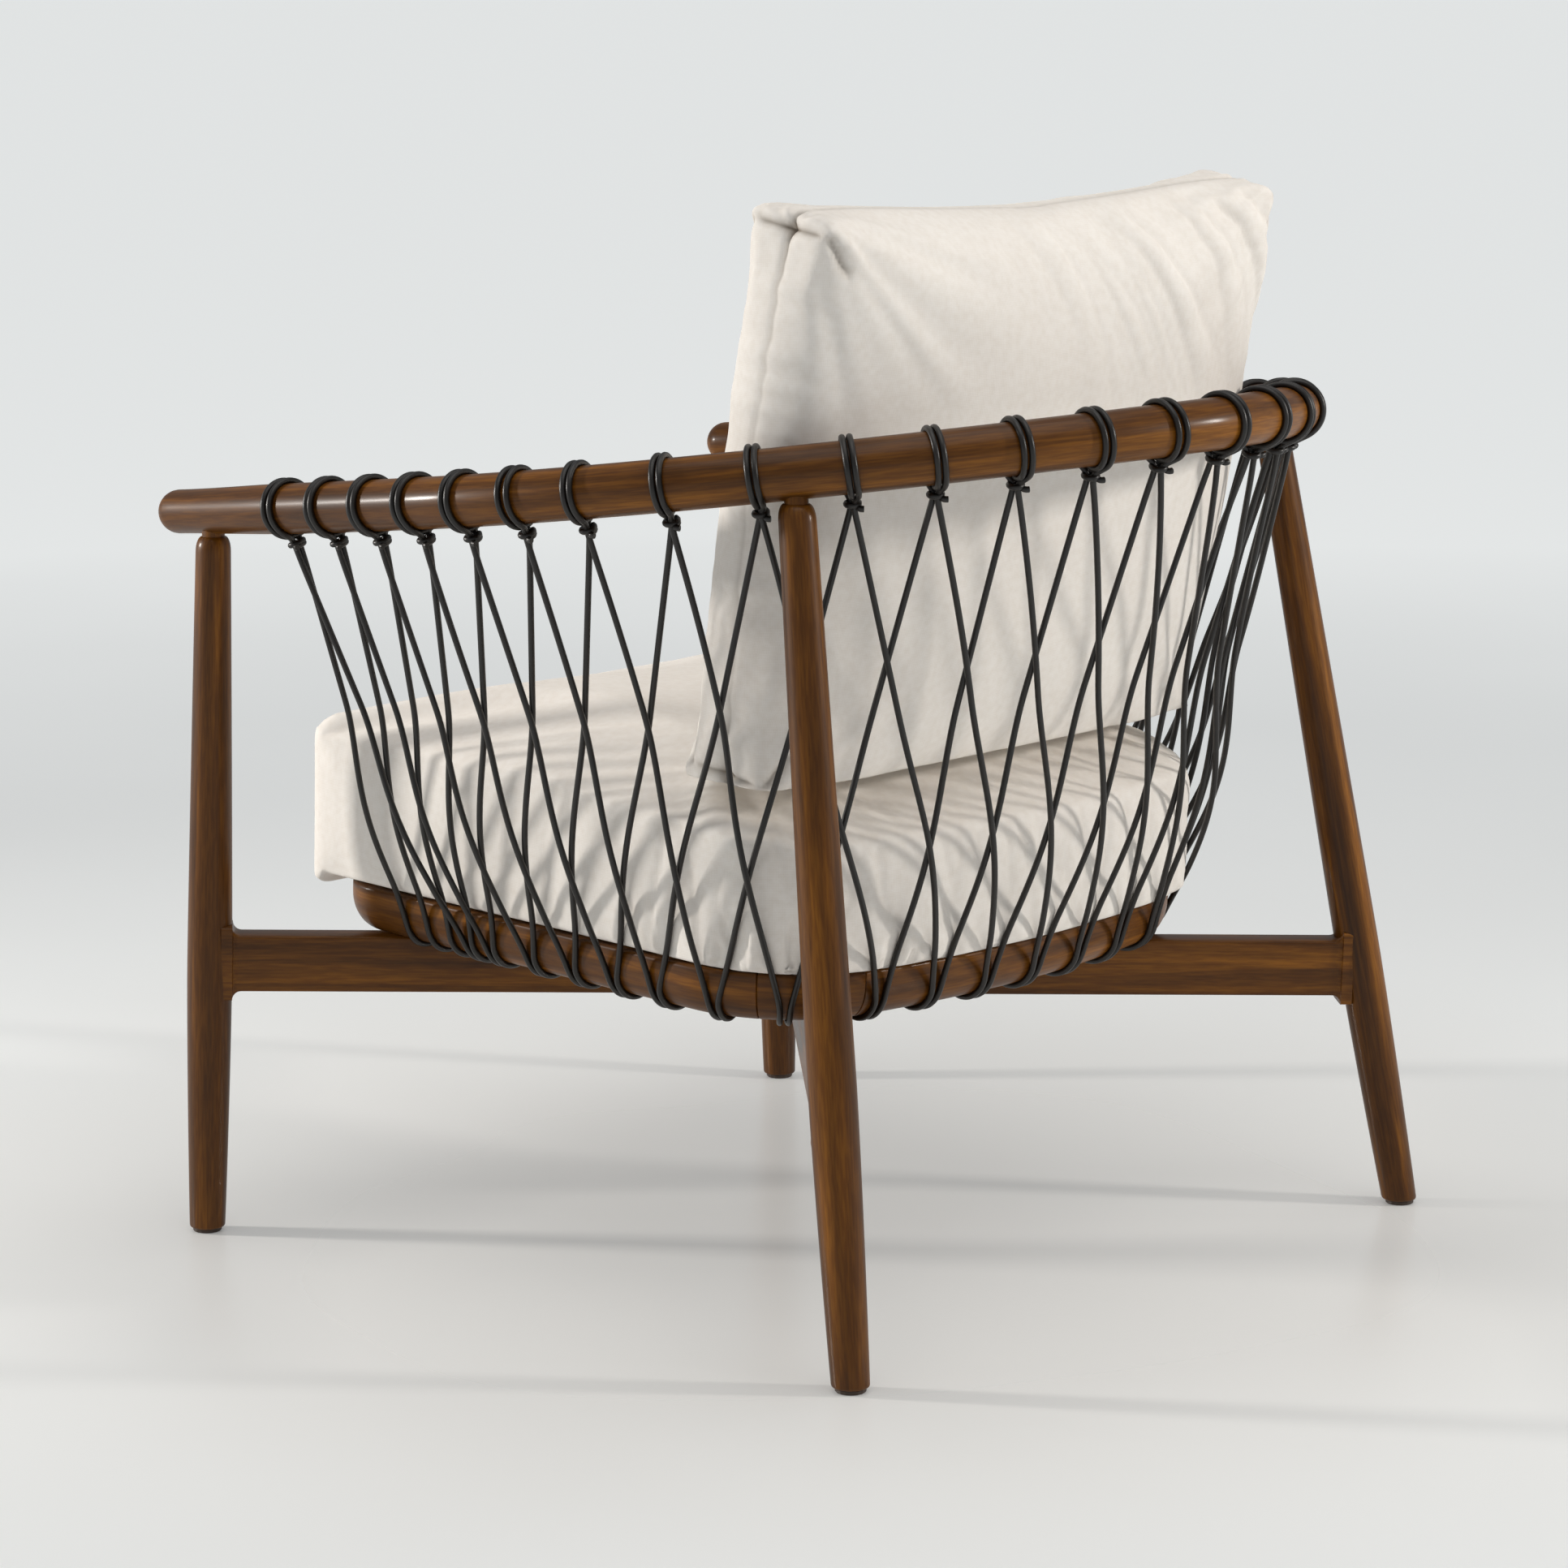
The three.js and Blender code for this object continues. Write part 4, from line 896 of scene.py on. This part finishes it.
# %% Hitches
def hitch_turn(loop, inner, outer):
    centre = (np.array(inner[0]) + np.array(outer[0])) / 2
    below = (np.array(inner[2]) + np.array(outer[2])) / 2
    axis = unit(below - centre)
    _, ahead, inward, _ = hoop_at(loop_station(loop))
    side = unit(ahead - axis * (ahead @ axis))
    front = np.cross(axis, side)
    points = []
    wide, deep = 4.6 * MM, 5.6 * MM
    first, last = -70, 395                  # degrees turned round the strands
    for t in np.linspace(first, last, 36):
        a = math.radians(t)
        drop = (0.2 + 2.6 * (t - first) / (last - first)) * MM
        across = side * wide * math.cos(a) + front * deep * math.sin(a)
        points.append(centre + across + axis * drop)
    step = points[-1] - points[-3]
    points.append(points[-1] + unit(step + side * 0.7 * np.linalg.norm(step)) * 3.5 * MM)
    points.append(points[-1] + unit(side) * 3.0 * MM)
    return points


for part in lacing:
    lacing[part] += [even_path(hitch_turn(*hitch), 1.2 * MM, 2) for hitch in hitches[part]]
print("paths with hitches:", {part: len(paths) for part, paths in lacing.items()})

# %% [markdown]
# Cord follows a path, so Geometry Nodes make it: the path's points become a curve, a
# circle is swept along it, and the ends are capped. The tree has the cord's radius and
# its number of sides as inputs, and every cord on the chair is made by it.

# %% A cord by Geometry Nodes
cord_tree = bpy.data.node_groups.new("round_cord", "GeometryNodeTree")
for label, kind, flow in (
    ("Path", "Geometry", "INPUT"), ("Radius", "Float", "INPUT"), ("Sides", "Int", "INPUT"),
    ("Finish", "Material", "INPUT"), ("Cord", "Geometry", "OUTPUT"),
):
    cord_tree.interface.new_socket(label, in_out=flow, socket_type="NodeSocket" + kind)
given = node(cord_tree, "NodeGroupInput")
line = node(cord_tree, "GeometryNodeMeshToCurve", Mesh=given.outputs["Path"])
section = node(cord_tree, "GeometryNodeCurvePrimitiveCircle",
               Resolution=given.outputs["Sides"], Radius=given.outputs["Radius"])
swept = node(cord_tree, "GeometryNodeCurveToMesh", Curve=line.outputs[0],
             Profile_Curve=section.outputs[0], Fill_Caps=True)
smooth = node(cord_tree, "GeometryNodeSetShadeSmooth", Geometry=swept.outputs[0])
real = node(cord_tree, "GeometryNodeRealizeInstances", Geometry=smooth.outputs[0])
dressed = node(cord_tree, "GeometryNodeSetMaterial", Geometry=real.outputs[0],
               Material=given.outputs["Finish"])
node(cord_tree, "NodeGroupOutput", Cord=dressed.outputs[0])


def through_nodes(name, mesh, tree, **values):
    """Runs a tree on a mesh with named inputs and returns the plain mesh it makes."""
    carrier = linked(name + "_path", mesh)
    modifier = carrier.modifiers.new("nodes", "NODES")
    modifier.node_group = tree
    for item in tree.interface.items_tree:
        if item.in_out == "INPUT" and item.name in values:
            modifier[item.identifier] = values[item.name]
    bake(carrier)
    made = carrier.data
    bpy.data.objects.remove(carrier)
    made.name = name
    return made


def path_mesh(paths):
    mesh = bpy.data.meshes.new("paths")
    vertices, edges = [], []
    for path in paths:
        first = len(vertices)
        vertices += [tuple(point) for point in path]
        edges += [(first + i, first + i + 1) for i in range(len(path) - 1)]
    mesh.from_pydata(vertices, edges, [])
    return mesh


for part, paths in lacing.items():
    mesh = through_nodes("laced_cord_" + part, path_mesh(paths), cord_tree,
                         Radius=CORD_RADIUS * MM, Sides=10, Finish=waxed_leather)
    face_outwards(mesh)
    piece = finished("laced_cord_" + part, mesh, waxed_leather, 60)
    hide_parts(*lace_nodes[part])
    print(piece.name, len(mesh.polygons), "faces")


# %% [markdown]
# Both cushions are foam wrapped in a soft filling, in boxed canvas covers. A full cover is
# a skin held out by what is inside it, and that is just what a cloth simulation with air
# pressure does: the panels swell, the middles of the edges draw in and the corners stay.
# The pad starts a little small, is remeshed into even squares that can move freely, and
# swells for twenty frames. No point may travel further than the cap, which keeps its size.
# It is made level, at the origin, and is moved to its place on the chair at the end.

# %% Swelling a cover by cloth simulation
VOXEL, PRESSURE, FRAMES = 6.0 * MM, 4.0, 20


def vectors_of(rows, label):
    flat = np.zeros(len(rows) * 3, np.float32)
    rows.foreach_get(label, flat)
    return flat.reshape(-1, 3).astype(float)


def spots_of(mesh):
    return vectors_of(mesh.vertices, "co")


def normals_of(mesh):
    return vectors_of(mesh.vertex_normals, "vector")


def put_spots(mesh, spots):
    mesh.vertices.foreach_set("co", np.asarray(spots, np.float32).ravel())
    mesh.update()


def new_pad(name, rings):
    """A closed pad, remeshed into even squares."""
    mesh = loft_mesh(name, [ring * MM for ring in rings])
    face_outwards(mesh)
    pad = linked(name, mesh)
    modifier = pad.modifiers.new("even", "REMESH")
    modifier.mode, modifier.voxel_size = "VOXEL", VOXEL
    bake(pad)
    print(name, len(pad.data.vertices), "vertices")
    return pad


def swell(piece, held, cap, stiff=12.0):
    """Runs the cloth; held gives each vertex its pin weight, from 0 to 1."""
    before = spots_of(piece.data)
    group = piece.vertex_groups.new(name="held")
    for index, weight in enumerate(held):
        if weight > 0.01:
            group.add([index], float(weight), "REPLACE")
    cloth = piece.modifiers.new("cloth", "CLOTH").settings
    cloth.use_pressure = True
    cloth.uniform_pressure_force = PRESSURE
    cloth.tension_stiffness = cloth.compression_stiffness = stiff
    cloth.bending_stiffness = 0.4
    cloth.vertex_group_mass = "held"
    cloth.effector_weights.gravity = 0
    for number in range(1, FRAMES + 1):
        bpy.context.scene.frame_set(number)
    bake(piece)
    bpy.context.scene.frame_set(1)
    piece.vertex_groups.clear()
    moved = spots_of(piece.data) - before
    far = np.linalg.norm(moved, axis=1)
    shrink = np.minimum(1.0, cap / np.maximum(far, 1e-9))
    put_spots(piece.data, before + moved * shrink[:, None])
    print(piece.name, "swelled", round(far.mean() / MM, 1), "mm on average,",
          round(far.max() / MM, 1), "mm at most")


def fit_to(piece, low, high):
    """Stretches the piece so that its box is low to high, in millimetres, then refines it."""
    spots = spots_of(piece.data) / MM
    lo, hi = spots.min(0), spots.max(0)
    spots = np.array(low) + (spots - lo) * ((np.array(high) - low) / (hi - lo))
    put_spots(piece.data, spots * MM)
    modifier = piece.modifiers.new("finer", "SUBSURF")
    modifier.levels = modifier.render_levels = 1
    bake(piece)
    print(piece.name, "was", lo.round(), "to", hi.round(), "mm before it was fitted")


# %% [markdown]
# What the simulation leaves out is drawn by moving vertices: seams, gathers and creases.
# Each of them is a soft weight from 0 to 1, by distance from a line, and pushes the cover
# in or out along its normals. The same weight darkens the grooves a little, as painted shade.

# %% Seams, gathers and creases
def smoothstep(x):
    x = np.clip(x, 0, 1)
    return x * x * (3 - 2 * x)


def waves(spots, wavelength, seed):
    """Soft noise between -1 and 1; the wavelength may differ along x, y and z."""
    places = np.asarray(spots) / np.asarray(wavelength) + np.array([3.1, 1.7, 2.3]) * seed
    return np.array([noise.noise(place) for place in places])


def along_line(spots, line, width):
    """1 on a line of points, fading over the width and towards the line's two ends."""
    line = np.array(line, float)
    steps = np.linalg.norm(np.diff(line, axis=0), axis=1)
    line = line[np.append(True, steps > 1e-3)]
    lengths = np.linalg.norm(np.diff(line, axis=0), axis=1)
    total, begun, best = lengths.sum(), 0.0, np.zeros(len(spots))
    for a, b, length in zip(line, line[1:], lengths):
        t = np.clip((spots - a) @ (b - a) / length ** 2, 0, 1)
        away = np.linalg.norm(spots - (a + t[:, None] * (b - a)), axis=1)
        share = (begun + t * length) / total
        fade = smoothstep(share * 5 + 0.25) * smoothstep((1 - share) * 2.5)
        best = np.maximum(best, np.exp(-(away / width) ** 2) * fade)
        begun += length
    return best


def shape_cover(piece, spots, outward_mm, painted_shade):
    """Moves the cover along its normals and stores the painted shade of its grooves."""
    put_spots(piece.data, (spots + normals_of(piece.data) * outward_mm[:, None]) * MM)
    # The seam attribute stores painted shade for the grooves.
    layer = piece.data.attributes.new("seam", "FLOAT", "POINT")
    layer.data.foreach_set("value", np.clip(painted_shade, 0, 1).astype(np.float32))


# %% [markdown]
# The seat cushion fills the ring: its outline is the ring's own path, drawn in a little,
# and the front overhangs. Its top edge is tighter at the front than at the back, and it
# carries a fine seam all round, just below that edge.

# %% Seat cushion
SEAT_INSET, SEAT_TOP = 8.0, 143.0
SEAT_SEAM = 23.0                              # depth of the seam below the top
START_SMALL, START_TOP, START_SEAM = 9.0, 121, 103
SEAT_LOW, SEAT_HIGH = (-272, -321, 1.0), (272, 243, SEAT_TOP)
FRONT_RISE, BACK_DROP, FRONT_SAG = 13, 7, 9
cushion_plan = seat_plan(-SEAT_INSET, 6.0, 34.0)


def cushion_start():
    """Closed rings from the underside up, START_SMALL inside the finished cover."""
    stations = np.linspace(0, cushion_plan.length, 181)[:-1]
    outline = [cushion_plan.at(s) for s in stations]
    rings = []
    for a in np.radians(np.linspace(0, 90, 5)):
        rings.append([(*(p + i * (START_SMALL + 6 - 6 * math.sin(a))), 7 - 6 * math.cos(a))
                      for p, _, i in outline])
    for a in np.radians(np.linspace(0, 90, 7)):
        ring = []
        for p, _, i in outline:
            soft = 16 + 20 * float(smoothstep((p[1] - 90) / 120))
            x, y = p + i * (START_SMALL + soft * (1 - math.cos(a)))
            ring.append((x, y, START_TOP - soft * (1 - math.sin(a))))
        rings.append(ring)
    return [np.array(ring) for ring in rings]


seat_pad = new_pad("canvas_seat_cushion", cushion_start())
height = spots_of(seat_pad.data)[:, 2] / MM
upright = np.abs(normals_of(seat_pad.data)[:, 2]) < 0.8
sewn = 0.85 * np.exp(-((height - START_SEAM) / 5) ** 2) * upright
swell(seat_pad, np.maximum(np.clip(1.2 - height / 6, 0, 1), sewn), 22 * MM)
fit_to(seat_pad, SEAT_LOW, SEAT_HIGH)

# %% Seat cushion, seams and gathers
spots = spots_of(seat_pad.data) / MM
normals = normals_of(seat_pad.data)
upright = smoothstep((0.75 - np.abs(normals[:, 2])) / 0.4)
seam_height = SEAT_TOP - SEAT_SEAM - 10 * smoothstep((spots[:, 1] - 60) / 130)
from_seam = spots[:, 2] - seam_height
seam = np.exp(-(from_seam / 2.2) ** 2) * upright
gathers = waves(spots * (1, 1, 0.25), 15, 1) * np.exp(-np.abs(from_seam) / 14) * upright
drag = waves(spots * (1, 1, 0.35), (38, 38, 60), 2) * upright
crown = 4 * np.exp(-(np.hypot(spots[:, 0] / 230, (spots[:, 1] + 60) / 210)) ** 4)
crown = crown * (normals[:, 2] > 0.5)
sat_on = waves(spots, 95, 3) * (normals[:, 2] > 0.2)
to_front = smoothstep((80 - spots[:, 1]) / 170)
to_back = smoothstep((spots[:, 1] - 110) / 120)
risen = smoothstep(spots[:, 2] / SEAT_TOP)
spots[:, 2] += risen * (FRONT_RISE * to_front - BACK_DROP * to_back)
overhang = smoothstep((-289 - spots[:, 1]) / 12)
spots[:, 2] -= FRONT_SAG * overhang * smoothstep((80 - spots[:, 2]) / 80)
wrinkle = 1 - np.abs(waves(spots * (1, 1, 0.5), (30, 30, 44), 4)) * 2
wrinkle = np.clip(wrinkle, 0, 1) ** 3 * upright * smoothstep((spots[:, 1] + 120) / 200)
# The last argument is painted shade in the seam groove and the side wrinkles.
shape_cover(seat_pad, spots, 1.4 * gathers + 2.6 * drag + 1.2 * sat_on + crown
            - 1.4 * seam - 1.8 * wrinkle, 0.55 * seam + 0.10 * wrinkle)
put_spots(seat_pad.data, [seat_point(*spot) for spot in spots_of(seat_pad.data) / MM])
print("seam", SEAT_SEAM, "mm below the top, front raised by", FRONT_RISE, "mm")


# %% [markdown]
# The cords press into the side of the cushion. Wherever a cord runs close, the cloth is
# pushed back until it just clears the cord, and between two cords it keeps its swell.

# %% Pressing the cords into the cover
cords_near = kdtree.KDTree(len(strand_points))
for index, point in enumerate(strand_points):
    cords_near.insert(Vector(point), index)
cords_near.balance()
CLEAR = (CORD_RADIUS + 0.6) * MM
CELL_CURVE, NEARBY = 34 * MM, 30 * MM        # how round the swell is; how far a cord reaches


def press_cords(piece):
    spots, normals, pushed = spots_of(piece.data), normals_of(piece.data), 0
    for index, spot in enumerate(spots):
        outward = np.array([normals[index][0], normals[index][1], 0.0])
        near, _, distance = cords_near.find(Vector(spot))
        if distance > NEARBY or np.linalg.norm(outward) < 0.3:
            continue
        outward = unit(outward)
        gap = spot - np.array(near)
        beyond = gap @ outward
        aside = math.sqrt(max(0.0, gap @ gap - beyond * beyond))
        allowed = aside * aside / (2 * CELL_CURVE) - CLEAR
        if beyond > allowed:
            spots[index] = spot - outward * (beyond - allowed)
            pushed += 1
    put_spots(piece.data, spots)
    return pushed


def finish_cover(piece, node_name):
    give_material(piece.data, cotton_canvas)
    face_outwards(piece.data)
    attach(piece, "root")
    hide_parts(node_name)
    print(piece.name, len(piece.data.polygons), "faces")


print("pressed", press_cords(seat_pad), "points of the seat cushion")
finish_cover(seat_pad, "seat_cushion")

# %% [markdown]
# The back pillow is two panels joined by one seam that runs round the middle of its
# sides. Its corners are boxed: each was sewn across, so it ends in a short cross seam with
# a knot where it meets the long one, and small pleats run out from that knot.
# The pillow stands on the seat cushion and leans back ten degrees.

# %% Back pillow
PILLOW_LEAN = math.radians(10)
PILLOW_MIDDLE = np.array([-4.0, 174.0 + SHIFT_Y, 616.0])
PILLOW_LOW, PILLOW_HIGH = (-282, -80, -236), (282, 80, 228)
HALF_WIDE, HALF_HIGH = 278, 226               # where its edges lie, more or less
START_HALF = (270.0, 214.0, 42.0)
DIP, LIFT, NARROW = 15.0, 12.0, 12.0          # of the top, the bottom and the width


def pillow_point(across, back, up):
    c, s = math.cos(PILLOW_LEAN), math.sin(PILLOW_LEAN)
    x, y, z = PILLOW_MIDDLE
    return np.array([x + across, y + back * c + up * s, z - back * s + up * c]) * MM


def pillow_start():
    """A soft brick: rounded outlines from the front face to the back face."""
    (half_wide, half_high, half_thick), edge, corner = START_HALF, 15.0, 17.0
    rings = []
    for t in np.linspace(-90, 90, 14):
        a = math.radians(t)
        depth = math.copysign(half_thick - edge, t) + edge * math.sin(a)
        radius = corner - edge * (1 - math.cos(a))
        outline = rounded_rectangle(half_wide, half_high, corner, radius, 9)
        rings.append(np.array([(x, depth, z) for x, z in outline]))
    return rings


back_pad = new_pad("canvas_back_pillow", pillow_start())
spots = spots_of(back_pad.data) / MM
corner_gap = np.hypot(*(np.abs(spots[:, (0, 2)]) - START_HALF[:2]).T)
swell(back_pad, np.clip(1.6 - corner_gap / 20, 0, 1), 30 * MM, 8.0)
fit_to(back_pad, PILLOW_LOW, PILLOW_HIGH)

# %% Back pillow, shaping
spots = spots_of(back_pad.data) / MM
across, back, up = spots.T
side = np.abs(across) / HALF_WIDE
middle = np.clip(1 - side ** 2.2, 0, 1)
up = up - DIP * middle * smoothstep(up / HALF_HIGH)
up = up - LIFT * middle * smoothstep(-up / HALF_HIGH)
across = across * (1 - NARROW / HALF_WIDE * smoothstep((40 - up) / 250))
pinch = np.exp(-((HALF_HIGH - np.abs(up - 4)) / 60) ** 2) * np.exp(-((1 - side) / 0.22) ** 2)
back = back * (1 - 0.08 * pinch)
spots = np.stack([across, back, up], 1)
put_spots(back_pad.data, spots * MM)
normals = normals_of(back_pad.data)
rim = smoothstep((0.8 - np.abs(normals[:, 1])) / 0.4)
# The second array gathers painted shade for the corner knots, seams, folds and creases.
outward, painted_shade = np.zeros((2, len(spots)))
seam = np.exp(-(back / 2.2) ** 2) * rim
on_cover = kdtree.KDTree(len(spots))
for index, spot in enumerate(spots):
    on_cover.insert(spot, index)
on_cover.balance()


def laid_on(line, steps=9):
    """A line of points brought onto the cover."""
    line = np.array(line, float)
    share = np.linspace(0, len(line) - 1, steps)
    even = np.stack([np.interp(share, range(len(line)), line[:, k]) for k in range(3)], 1)
    return [np.array(on_cover.find(point)[0]) for point in even]


for sx in (1, -1):
    for sz, top in ((1, 214), (-1, -208)):
        knot = laid_on([(sx * 290, 0, top)] * 2, 2)[0]
        away = np.linalg.norm(spots - knot, axis=1)
        turn = np.arctan2(spots[:, 2] - knot[2], spots[:, 1])
        outward -= 6 * np.exp(-(away / 8) ** 2)
        pleats = np.cos(turn * 10 + 2 * sx) * np.exp(-((away - 17) / 12) ** 2)
        outward += 1.2 * pleats * (1 + sz * np.sin(turn)) / 2
        painted_shade += 0.6 * np.exp(-(away / 6) ** 2)
        seam_deep = seam * np.exp(-away / 32)
        outward -= 3.6 * seam_deep
        painted_shade += 0.6 * seam_deep
        for sw in (1, -1):
            edge = knot + (0, sw * 36, sz * 2)
            cross_seam = along_line(spots, laid_on([knot, edge]), 2.8)
            fold = along_line(spots, laid_on([edge, edge + (-sx * 8, sw * 14, -sz * 18),
                                              edge + (-sx * 20, sw * 24, -sz * 34)]), 3.2)
            lifted = along_line(spots, laid_on([edge + (0, 0, sz * 8),
                                                edge + (-sx * 16, sw * 18, -sz * 4),
                                                edge + (-sx * 34, sw * 26, -sz * 26)]), 6.0)
            outward += 3.0 * lifted - 3.4 * cross_seam - 4.0 * fold
            painted_shade += 0.7 * cross_seam + 0.6 * fold
outward -= 0.8 * seam
painted_shade += 0.22 * seam
on_side = smoothstep((np.abs(normals[:, 0]) - 0.3) / 0.4)
ripples = waves(spots * (0.2, 0.35, 1), (30, 30, 15), 7)
outward += 3.4 * ripples * on_side * np.exp(-(back / 34) ** 2)
slanted = np.stack([across + 0.6 * (HALF_HIGH - up), back * 0.2, up * 0.2], 1)
fans = waves(slanted, (34, 40, 40), 8)
creased = np.clip(1 - 2.6 * np.abs(fans), 0, 1) ** 2
far_top = smoothstep((130 - across) / 240) * np.exp(-((HALF_HIGH - up) / 125) ** 2)
on_panel = smoothstep((np.abs(normals[:, 1]) - 0.25) / 0.4)
outward += (6.5 * fans - 3.2 * creased) * far_top * on_panel
painted_shade += 0.12 * creased * far_top * on_panel
near_edge = np.exp(-np.minimum(HALF_HIGH - np.abs(up), (1 - side) * HALF_WIDE) / 40)
outward += 1.8 * waves(spots, (26, 30, 40), 9) * near_edge * on_panel
outward += 2.2 * waves(spots, (120, 80, 90), 10) * on_panel
shape_cover(back_pad, spots, outward, painted_shade)
print("pillow shaped by", outward.min().round(1), "to", outward.max().round(1), "mm")

# %% Back pillow, set in place
placed = np.array([pillow_point(*spot) for spot in spots_of(back_pad.data) / MM])
local = np.array([seat_local(spot) for spot in placed])
rest = SEAT_TOP - 1.0
under = local[:, 2] < rest
local[under, 2] = rest + (local[under, 2] - rest) * 0.04
placed[under] = np.array([seat_point(*spot) for spot in local[under]]).reshape(-1, 3)
put_spots(back_pad.data, placed)
print("pillow rests with", int(under.sum()), "points on the seat cushion")
press_cords(back_pad)
finish_cover(back_pad, "back_cushion")

# %% [markdown]
# The stage is one wide pale floor under soft studio light. It is polished enough to show
# the legs faintly, and it turns matt further out, where it serves as a backdrop. It also
# glows a little near the chair and more further out: painted light that makes the backdrop
# paler and softens the shade under the chair.

# %% Floor
floor_mesh = bpy.data.meshes.new("floor")
WIDE = 60.0
floor_mesh.from_pydata([(-WIDE, -WIDE, 0), (WIDE, -WIDE, 0), (WIDE, WIDE, 0), (-WIDE, WIDE, 0)],
                       [], [(0, 1, 2, 3)])
floor = linked("floor", floor_mesh)
painted_floor, tree, bsdf = new_material("painted_floor", Roughness=0.2, IOR=1.45,
                                         Specular_IOR_Level=0.4)
place = object_place(tree)
away = vector_math(tree, "LENGTH", place)
reach = number_math(tree, "MULTIPLY_ADD", soft_noise(tree, place, 1.1), 0.5, away)
backdrop = remap(tree, reach, 0.0, 1.0, {"interpolation_type": "SMOOTHSTEP"},
                 From_Min=0.55, From_Max=1.45)
# The emission is painted light: a glow that grows with distance from the chair.
dress(tree, bsdf, Base_Color=ramp(tree, backdrop, (0.0, "#DAD9D6"), (1.0, "#DCDEDE")),
      Roughness=remap(tree, backdrop, 0.22, 0.9),
      Emission_Strength=remap(tree, reach, 0.2, 0.66, From_Min=0.7, From_Max=4.5))
bsdf.inputs["Emission Color"].default_value = linear("#E4E6E5")
floor_mesh.materials.append(painted_floor)
print("floor", 2 * WIDE, "m wide")

# %% [markdown]
# Two small lamps stand low on either side, and give the long shadows and the lights along
# the wood. A large one overhead fills the tops, and the room itself is a pale grey.

# %% Light
world = bpy.data.worlds.new("studio")
bpy.context.scene.world = world
world.use_nodes = True
background = world.node_tree.nodes["Background"].inputs
background["Color"].default_value = linear("#F4F6F8")
background["Strength"].default_value = 0.36
bpy.context.scene.view_settings.view_transform = "Standard"
CHAIR_MIDDLE = Vector((0, 0, 0.4))


def lamp(name, spot, size, watts, colour, spread):
    """A rectangular lamp that faces the middle of the chair."""
    data = bpy.data.lights.new(name, "AREA")
    data.shape, data.size, data.size_y = "RECTANGLE", size[0], size[1]
    data.energy, data.color, data.spread = watts, linear(colour)[:3], math.radians(spread)
    made = linked(name, data)
    made.location = spot
    made.rotation_euler = (CHAIR_MIDDLE - Vector(spot)).to_track_quat("-Z", "Y").to_euler()
    print(name, watts, "W")


lamp("overhead", (0.3, 0.5, 3.0), (2.6, 2.6), 28, "#FFFCF8", 180)
lamp("key_left", (2.0, -2.8, 1.2), (0.3, 0.3), 12, "#FFFAF4", 70)
lamp("fill_right", (-1.9, 2.9, 1.6), (0.3, 0.4), 8, "#FFFAF4", 70)

# %% [markdown]
# The camera stands behind the sitter's left shoulder, a little higher than the chair, and
# looks down by ten degrees. A long lens from four metres away keeps the shapes calm.

# %% Camera
camera = linked("camera", bpy.data.cameras.new("camera"))
camera.location = (3.0509, 2.6010, 1.0809)
camera.rotation_euler = (math.radians(90 - 10.235), 0, math.radians(130.9163))
camera.data.lens, camera.data.sensor_width = 117.6, 36
camera.data.clip_end = 100
bpy.context.scene.camera = camera
print("camera lens", camera.data.lens, "mm")
